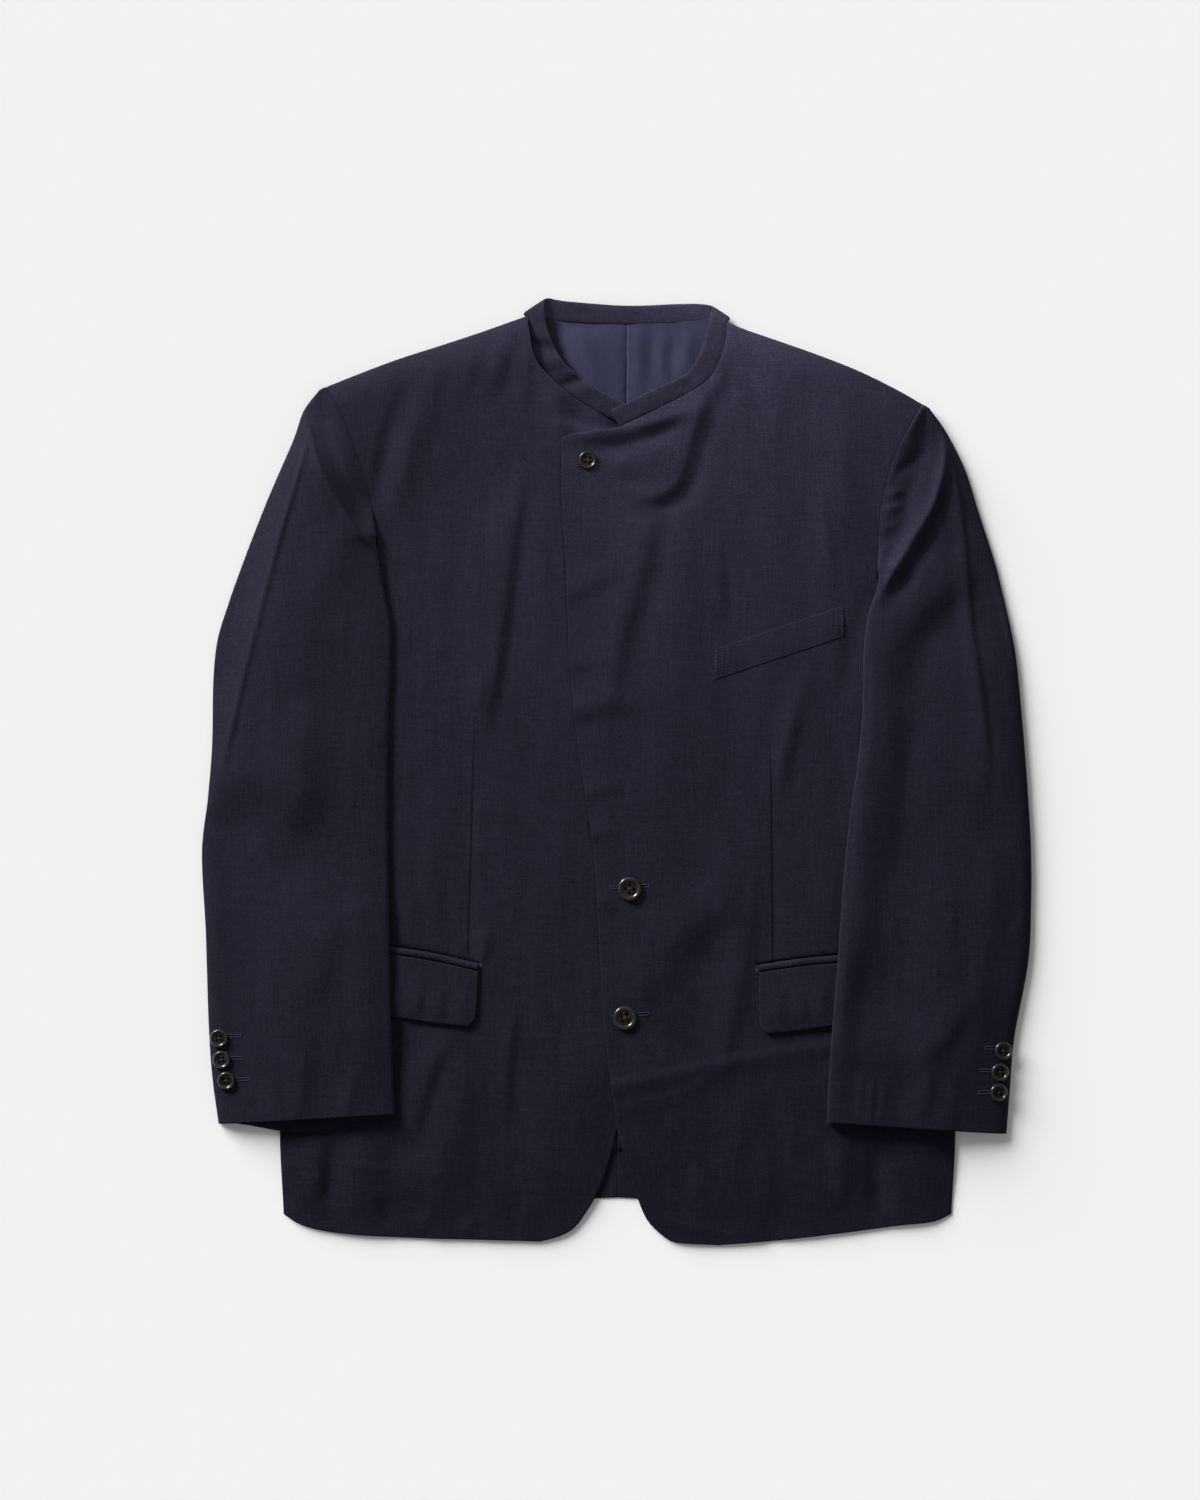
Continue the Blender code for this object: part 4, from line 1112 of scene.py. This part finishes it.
# Neck band, one strip of the wool folded over along its top edge and sewn round the neck. Its left end
# lies over its right end at the front, and it stands a little away from the lining at the back.
BAND_HALF = 1.0
BAND_TUCK = 2.8
BAND_POWER = 6
BAND_STEP = 0.004
BAND_UNEVEN = 0.3
BAND_SPAN = (12, 12)
BAND_SEED = 9.0
BAND_GRID = (20, 220)
WELD = 0.001
BandRow = namedtuple("BandRow", "seam_x seam_y seam_z top_x top_y top_z")
NECK_BAND = (
    BandRow(0.5, 296.0, 7.0, 9.5, 306.5, 7.6),
    BandRow(-12.5, 303.2, 7.4, -4.0, 314.0, 9.0),
    BandRow(-24.0, 309.4, 7.4, -15.0, 319.5, 10.4),
    BandRow(-40.5, 320.2, 7.4, -30.0, 330.0, 11.2),
    BandRow(-54.0, 332.2, 7.2, -42.5, 341.0, 11.2),
    BandRow(-65.8, 347.2, 6.8, -51.5, 354.5, 11.0),
    BandRow(-70.6, 367.0, 6.2, -58.5, 372.5, 10.4),
    BandRow(-73.0, 380.5, 5.8, -60.8, 388.0, 8.8),
    BandRow(-75.5, 385.5, 3.7, -58.5, 396.6, 5.2),
    BandRow(-66.0, 383.5, 2.2, -50.0, 395.8, 2.8),
    BandRow(-38.0, 379.5, 2.6, -34.0, 393.8, 3.6),
    BandRow(9.0, 378.0, 2.8, 9.0, 390.8, 4.2),
    BandRow(52.0, 379.0, 2.6, 50.0, 392.2, 3.6),
    BandRow(83.0, 381.5, 2.2, 68.0, 392.5, 2.8),
    BandRow(92.5, 381.8, 3.7, 79.5, 390.0, 4.8),
    BandRow(90.4, 376.6, 5.8, 77.5, 381.0, 7.4),
    BandRow(89.6, 364.5, 6.2, 76.0, 371.5, 8.2),
    BandRow(85.4, 348.2, 6.8, 70.5, 352.0, 8.8),
    BandRow(77.3, 332.4, 7.2, 61.0, 336.0, 9.2),
    BandRow(66.5, 323.4, 7.6, 52.0, 330.0, 9.8),
    BandRow(40.5, 309.4, 9.0, 31.0, 320.0, 11.0),
    BandRow(20.0, 299.6, 10.2, 11.5, 310.6, 12.2),
    BandRow(1.5, 290.8, 11.2, -5.0, 302.2, 12.8),
)
BAND_DENTS = (
    Crease(((-80, 362), (-62, 357), (-44, 350)), 4, 6, -2.4),
    Crease(((-54, 322), (-36, 327), (-18, 331)), 4, 5, -2.6),
    Crease(((-68, 342), (-50, 345), (-34, 348)), 6, 6, 1.2),
    Crease(((56, 314), (62, 328), (68, 342)), 5, 5, -1.2),
)


def band_shell(u, v):
    """Places all round the folded strip, u round its section and v along it."""
    turn = u * math.tau
    share = (1.0 - np.cos(turn)) / 2.0
    row = np.array(read_rows(NECK_BAND, v))
    ahead = np.array(read_rows(NECK_BAND, np.minimum(v + BAND_STEP, 1.0)))
    behind = np.array(read_rows(NECK_BAND, np.maximum(v - BAND_STEP, 0.0)))
    across = (row[3:] - row[:3]).T
    tuck = BAND_TUCK / np.linalg.norm(across, axis=1)
    normal = np.cross(across, (ahead - behind)[:3].T)
    normal = normal / np.linalg.norm(normal, axis=1)[:, None]
    normal = normal * np.sign(normal[:, 2:])
    full = np.sqrt(np.clip(1.0 - np.abs(2.0 * share - 1.0) ** BAND_POWER, 0.0, 1.0))
    depth = BAND_HALF * np.sign(np.sin(turn)) * full
    reach = share * (1.0 + tuck) - tuck
    place = row[:3].T + across * reach[:, None] + normal * depth[:, None]
    x, y, z = place.T
    return x, y, z + crease_height(BAND_DENTS, x, y) + BAND_UNEVEN * uneven(x, y, BAND_SPAN, BAND_SEED)


def tube(place, grid):
    """A closed tube with capped ends, from places round and along it."""
    bm = spread(place, grid)
    bmesh.ops.remove_doubles(bm, verts=bm.verts, dist=WELD)
    bmesh.ops.holes_fill(bm, edges=[edge for edge in bm.edges if edge.is_boundary], sides=0)
    bmesh.ops.recalc_face_normals(bm, faces=bm.faces)
    return bm


band = finish("neck_band_cloth", tube(band_shell, BAND_GRID), wool)
by_window.objects.link(band)
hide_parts("neck_band")

# Chest welt, pocket jets and flaps, each of the wool folded double. The welt and the jets are sewn into
# the fronts, and the flaps hang from under the jets.
FLAP = 2.0
JET = 1.8
JET_WIDTH = 5.5
JET_GAP = 0.8
TRIM_CELL = (2.5, 2.5)
CORNER_STEP = 2.0
FLAP_LIFT = 0.3
FLAP_HANG = 45.0
WELT_PUFF = 0.3
WELT_HALF = 13.0
WELT_SINK = 1.9
JET_PUFF = 0.6
RAY_HEIGHT = 1000.0
CHEST_WELT = ((82, 103), (190.5, 139.6), (191.5, 113), (82, 76.5))
FLAP_CREASES = {
    -1: (
        Crease(((-166, -150), (-166, -185), (-168, -215)), 4, 9, 1.9),
        Crease(((-146, -152), (-147, -185), (-148, -218)), 4, 9, 1.8),
        Crease(((-128, -156), (-129, -188), (-129, -220)), 4, 8, 1.2),
        Crease(((-184, -148), (-186, -180), (-187, -212)), 5, 8, 1.3),
    ),
    1: (
        Crease(((137, -160), (136, -190), (138, -224)), 5, 9, 1.4),
        Crease(((158, -156), (156, -188), (157, -220)), 5, 9, 1.5),
        Crease(((175, -154), (173, -186), (173, -218)), 5, 8, 1.1),
    ),
}


def surface(piece):
    """The top of a finished piece, as its height at a place."""
    tree = BVHTree.FromObject(piece, bpy.context.evaluated_depsgraph_get())

    def touch(x, y):
        hit = tree.ray_cast(Vector((x, y, RAY_HEIGHT)) * MM, Vector((0, 0, -1)))[0]
        return hit.z / MM

    return touch


def over(touch, wall):
    """A height that lies on a finished piece, at each of many places."""
    return lambda xs, ys: np.array([touch(x, y) + SEAT_GAP + wall for x, y in zip(xs, ys)])


def flap_outline(pocket):
    """Outline of a pocket flap with one rounded corner."""
    outer = Vector((*pocket.low[-1], 0))
    return closed(smooth(pocket.top), smooth(pocket.edge, CORNER_STEP), smooth(pocket.low)) + [outer]


def jet_outline(pocket):
    """Outline of the narrow strip above a flap."""
    line = smooth(pocket.top)
    lower = [point + Vector((0, JET_GAP, 0)) for point in line]
    upper = [point + Vector((0, JET_GAP + JET_WIDTH, 0)) for point in line]
    return lower + upper[::-1]


bpy.context.view_layer.update()
touch = {side: surface(front) for side, front in fronts.items()}
outline = [Vector((x, y, 0)) for x, y in CHEST_WELT]
seat = over(touch["left"], FLAP)
welt_line = [outline[0].lerp(outline[3], 0.5), outline[1].lerp(outline[2], 0.5)]


def welt_top(x, y):
    """Top of the welt, a little full along its middle."""
    gap = beside(welt_line, x, y)[0]
    return seat(x, y) + WELT_PUFF * (1.0 - soft_step(gap / WELT_HALF)) - WELT_SINK


welt = lay(cut_panel(outline, TRIM_CELL), outline, welt_top)
welt = sew_sheet("chest_welt", welt, wool, "wool")
for side, cut in HALVES:
    pocket = POCKETS[cut.sign]
    on_jet = over(touch[side], JET)
    on_flap = over(touch[side], FLAP)
    jet_line = [point + Vector((0, JET_GAP + JET_WIDTH / 2, 0)) for point in smooth(pocket.top)]

    def jet_top(x, y):
        """Top of a jet, rounded across."""
        return on_jet(x, y) + JET_PUFF * (1.0 - soft_step(beside(jet_line, x, y)[0] / (JET_WIDTH / 2)))

    def flap_top(x, y):
        """Top of a flap, which stands off a little at its lower edge."""
        hang = soft_step(beside(smooth(pocket.top), x, y)[0] / FLAP_HANG)
        return on_flap(x, y) + FLAP_LIFT * hang + hang * crease_height(FLAP_CREASES[cut.sign], x, y)

    outline = jet_outline(pocket)
    strip = ((smooth(pocket.top)[0] - smooth(pocket.top)[-1]).length * MM, 2 * JET_WIDTH * MM)
    sheet = lay(cut_panel(outline, TRIM_CELL), outline, jet_top)
    sew_sheet("jet_" + side, sheet, wool, "wool", flat=strip)
    outline = flap_outline(pocket)
    sheet = lay(cut_panel(outline, TRIM_CELL), outline, flap_top)
    sew_sheet("flap_" + side, sheet, wool, "wool")

# Buttons, turned from dark horn with a raised rim, a shallow dish and four holes. Each is sewn on
# through its holes with dark thread.
BUTTON_SEGMENTS = 48
HOLE_SEGMENTS = 14
HORN_DARK = (0.004, 0.003, 0.003, 1)
HORN_LIGHT = (0.052, 0.039, 0.035, 1)
# Black painted shade for the bottoms of the button holes.
HOLE_PAINTED_SHADE = (0, 0, 0, 1)
HORN_SHINE = 0.15
COAT_ROUGHNESS = 0.2
STREAK_GRAIN = (1.6, 6.0, 4.0)
STREAK_SHARE = 1.4
STREAK_SHIFT = 0.1
PATCH_GRAIN = (7.0, 5.0)
HORN_BUMP = 0.1
HORN_RELIEF = 0.1
HORN_ROUGHNESS = 0.3
STREAK_ROUGHNESS = 0.2
SHARP_FROM = 50
HOLE_SIZE = 0.145
HOLE_PLACE = 0.24
HOLE_DEPTH = 1.6
BUTTON_SEAT = 0.3
RIM_FROM = 0.66
ProfileRow = namedtuple("ProfileRow", "radius height")
DISH = ProfileRow(0.54, 1.7)
BUTTON_PROFILE = (
    ProfileRow(0.6, 1.6),
    ProfileRow(0.64, 1.65),
    ProfileRow(0.7, 2.15),
    ProfileRow(0.76, 2.65),
    ProfileRow(0.82, 2.8),
    ProfileRow(0.88, 2.7),
    ProfileRow(0.94, 2.3),
    ProfileRow(1.0, 1.5),
    ProfileRow(0.98, 0.9),
    ProfileRow(0.92, 0.35),
    ProfileRow(0.8, 0.05),
)


def horn():
    """Polished dark horn with brown streaks, painted black as shade down its holes."""
    made, shader, place = start_material("horn", {
        "Specular IOR Level": HORN_SHINE,
        "Coat Roughness": COAT_ROUGHNESS,
    })
    rim = place.node("ShaderNodeAttribute", {"attribute_name": "rim"}, {}, "Fac")
    # Painted shade: the colour turns black towards the bottoms of the holes.
    hole_shade = place.node("ShaderNodeAttribute", {"attribute_name": "hole_shade"}, {}, "Fac")
    streak = place.speckle(*STREAK_GRAIN)
    patch = place.speckle(*PATCH_GRAIN)
    colour = (STREAK_SHARE * streak * patch - STREAK_SHIFT).mix(HORN_DARK, HORN_LIGHT)
    feed(
        shader,
        Base_Color=hole_shade.mix(colour, HOLE_PAINTED_SHADE),
        Roughness=HORN_ROUGHNESS + STREAK_ROUGHNESS * streak,
        Coat_Weight=rim,
        Normal=streak.bump(HORN_BUMP, HORN_RELIEF),
    )
    return made


def circle(bm, middle, radius, height, segments):
    """A ring of edges, lying flat."""
    place = Matrix.Translation((middle[0], middle[1], height))
    made = bmesh.ops.create_circle(bm, segments=segments, radius=radius, matrix=place)
    return list(dict.fromkeys(edge for vert in made["verts"] for edge in vert.link_edges))


def draw_out(bm, edges, scale, height, middle=(0, 0)):
    """Extrude a ring of edges to a new height, drawn in or out about its middle."""
    made = bmesh.ops.extrude_edge_only(bm, edges=edges)["geom"]
    for vert in (part for part in made if isinstance(part, bmesh.types.BMVert)):
        x = middle[0] + (vert.co.x - middle[0]) * scale
        y = middle[1] + (vert.co.y - middle[1]) * scale
        vert.co = (x, y, height)
    return [part for part in made if isinstance(part, bmesh.types.BMEdge)]


def turn_button(radius):
    """A button lying at the origin."""
    bm = bmesh.new()
    rim = circle(bm, (0, 0), DISH.radius * radius, DISH.height, BUTTON_SEGMENTS)
    spots = [(x * HOLE_PLACE * radius, y * HOLE_PLACE * radius) for x in (-1, 1) for y in (-1, 1)]
    holes = [circle(bm, spot, HOLE_SIZE * radius, DISH.height, HOLE_SEGMENTS) for spot in spots]
    bmesh.ops.triangle_fill(bm, use_beauty=True, edges=rim + [edge for hole in holes for edge in hole])
    reach = DISH.radius
    for row in BUTTON_PROFILE:
        rim = draw_out(bm, rim, row.radius / reach, row.height)
        reach = row.radius
    for hole, spot in zip(holes, spots):
        hole = draw_out(bm, hole, 1.0, DISH.height - HOLE_DEPTH, spot)
        bmesh.ops.edgeloop_fill(bm, edges=hole)
    bmesh.ops.edgeloop_fill(bm, edges=rim)
    bmesh.ops.recalc_face_normals(bm, faces=bm.faces)
    rim = bm.verts.layers.float.new("rim")
    # Marks the bottoms of the holes, where the horn is painted black as shade.
    hole_shade = bm.verts.layers.float.new("hole_shade")
    for vert in bm.verts:
        across = math.hypot(vert.co.x, vert.co.y)
        vert[rim] = float(across > RIM_FROM * radius)
        vert[hole_shade] = float(across < DISH.radius * radius and vert.co.z < DISH.height - HOLE_DEPTH / 2)
    return bm


def seat_of(node):
    """The place and turn of a button on the cloth below it, and its radius, from its solid."""
    points = np.array([vert.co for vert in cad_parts[node].data.vertices]) / MM
    middle = points.mean(axis=0)
    axis = np.linalg.svd(points - middle, full_matrices=False)[2][2]
    axis = axis * np.sign(axis[2])
    foot = middle + axis * ((points - middle) @ axis).min()
    radius = np.linalg.norm(np.cross(points - middle, axis), axis=1).max()
    cuff = next((side for side in ("right", "left") if "cuff_" + side in node), None)
    foot[2] = tops["sleeve_" + cuff if cuff else "front_left"](foot[0], foot[1]) + BUTTON_SEAT
    turn = Vector(axis).to_track_quat("Z", "Y").to_matrix().to_4x4()
    return Matrix.Translation(Vector(foot)) @ turn, radius


bpy.context.view_layer.update()
tops = {
    "front_left": touch["left"],
    "front_right": touch["right"],
    "sleeve_right": surface(sleeves["right"]),
    "sleeve_left": surface(sleeves["left"]),
    "welt": surface(welt),
}
buttons = horn()
seats = {node: seat_of(node) for node in sorted(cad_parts) if node.startswith("button")}
for node, (place, radius) in seats.items():
    bm = turn_button(radius)
    bmesh.ops.transform(bm, matrix=place, verts=bm.verts)
    button = finish(node + "_horn", bm, buttons)
    button.data.set_sharp_from_angle(angle=math.radians(SHARP_FROM))
    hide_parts(node)

# Sewing, of twisted silk and cotton thread: worked buttonholes, the stitches at the ends of the welt,
# a bar tack at the end of each jet, and the thread through the buttons.
HOLE_THREAD = (0.024, 0.028, 0.075, 1)
TACK_THREAD = (0.05, 0.055, 0.1, 1)
BUTTON_THREAD = (0.05, 0.045, 0.045, 1)
STITCH_PITCH = 0.75
STITCH_LENGTH = 1.35
STITCH_WIDTH = 0.66
SLIT_WIDTH = 0.8
END_BAR = 2.4
THREAD_LIFT = 0.15
THREAD_REACH = 0.5
THREAD_SHINE = 0.3
THREAD_ROUGHNESS = 0.6
THREAD_GRAIN = (0.5, 0.5)
THREAD_DARK = (0, 0, 0, 1)
Hole = namedtuple("Hole", "piece start end")
BUTTONHOLES = (
    Hole("front_left", (-34.0, 256.5), (-8.5, 262.5)),
    Hole("front_left", (-4.8, -97.0), (27.0, -95.5)),
    Hole("front_left", (-4.0, -205.5), (27.0, -202.5)),
    Hole("sleeve_right", (-334.0, -221.5), (-314.5, -221.0)),
    Hole("sleeve_right", (-330.0, -240.5), (-312.5, -239.5)),
    Hole("sleeve_right", (-326.0, -258.5), (-307.0, -257.0)),
    Hole("sleeve_left", (308.5, -231.0), (326.0, -231.5)),
    Hole("sleeve_left", (304.5, -250.0), (322.0, -250.5)),
    Hole("sleeve_left", (302.0, -268.5), (322.0, -267.5)),
)
WELT_STITCHES = (
    ((183.8, 134.5), (184.6, 113.0)),
    ((188.6, 136.5), (189.4, 114.5)),
    ((83.6, 101.0), (83.6, 79.5)),
    ((89.0, 102.5), (89.0, 81.5)),
)
WELT_PITCH = 2.7
WELT_STITCH = 1.3
BAR_TACKS = (((-113.6, -160.0), (-114.6, -166.0)), ((117.4, -164.0), (118.2, -170.5)))


def thread(name, colour):
    """Twisted thread with a soft shine, whose fibres run from dark to twice its colour."""
    made, shader, place = start_material(name, {
        "Specular IOR Level": THREAD_SHINE,
        "Roughness": THREAD_ROUGHNESS,
    })
    light = [2 * part for part in colour[:3]] + [1]
    feed(shader, Base_Color=place.speckle(*THREAD_GRAIN).mix(THREAD_DARK, light))
    return made


def stitch(bm, start, end, width):
    """One stitch, a bead drawn out from place to place."""
    run = end - start
    turn = run.to_track_quat("X", "Z").to_matrix().to_4x4()
    size = Matrix.Diagonal((run.length, width, width, 1))
    place = Matrix.Translation((start + end) / 2) @ turn @ size
    bmesh.ops.create_icosphere(bm, subdivisions=1, radius=0.5, matrix=place)


def on(touch, x, y):
    """A place on a finished piece."""
    return Vector((x, y, touch(x, y) + THREAD_LIFT))


def work_hole(bm, touch, hole):
    """Stitches set across both sides of a slit, with a bar at each end."""
    start, end = Vector(hole.start), Vector(hole.end)
    run = (end - start).normalized()
    across = Vector((-run.y, run.x))
    count = round((end - start).length / STITCH_PITCH)
    for k in range(count + 1):
        middle = start.lerp(end, k / count)
        for side in (-1, 1):
            near = middle + across * side * SLIT_WIDTH / 2
            far = near + across * side * STITCH_LENGTH
            stitch(bm, on(touch, *near), on(touch, *far), STITCH_WIDTH)
    for tip in (start, end):
        edge = across * END_BAR / 2
        stitch(bm, on(touch, *(tip - edge)), on(touch, *(tip + edge)), STITCH_WIDTH)


def run_stitches(bm, touch, line, pitch, length):
    """Short stitches along a line."""
    start, end = (Vector(point) for point in line)
    run = (end - start).normalized()
    for k in range(int((end - start).length / pitch)):
        near = start + run * k * pitch
        stitch(bm, on(touch, *near), on(touch, *(near + run * length)), STITCH_WIDTH)


bm = bmesh.new()
for hole in BUTTONHOLES:
    work_hole(bm, tops[hole.piece], hole)
for line, piece in zip(BAR_TACKS, ("front_right", "front_left")):
    start, end = (on(tops[piece], *point) for point in line)
    for step in (-STITCH_WIDTH, 0.0, STITCH_WIDTH):
        stitch(bm, start + Vector((step, 0, 0)), end + Vector((step, 0, 0)), STITCH_WIDTH)
holes = finish("buttonhole_thread", bm, thread("hole_silk", HOLE_THREAD))
bm = bmesh.new()
for line in WELT_STITCHES:
    run_stitches(bm, tops["welt"], line, WELT_PITCH, WELT_STITCH)
tacks = finish("tack_thread", bm, thread("tack_silk", TACK_THREAD))
bm = bmesh.new()
for place, radius in seats.values():
    reach = THREAD_REACH * HOLE_PLACE * radius
    for side in (-1, 1):
        start = place @ Vector((-reach, -side * reach, DISH.height))
        end = place @ Vector((reach, side * reach, DISH.height))
        stitch(bm, start, end, STITCH_WIDTH)
sewn_on = finish("button_thread", bm, thread("button_cotton", BUTTON_THREAD))
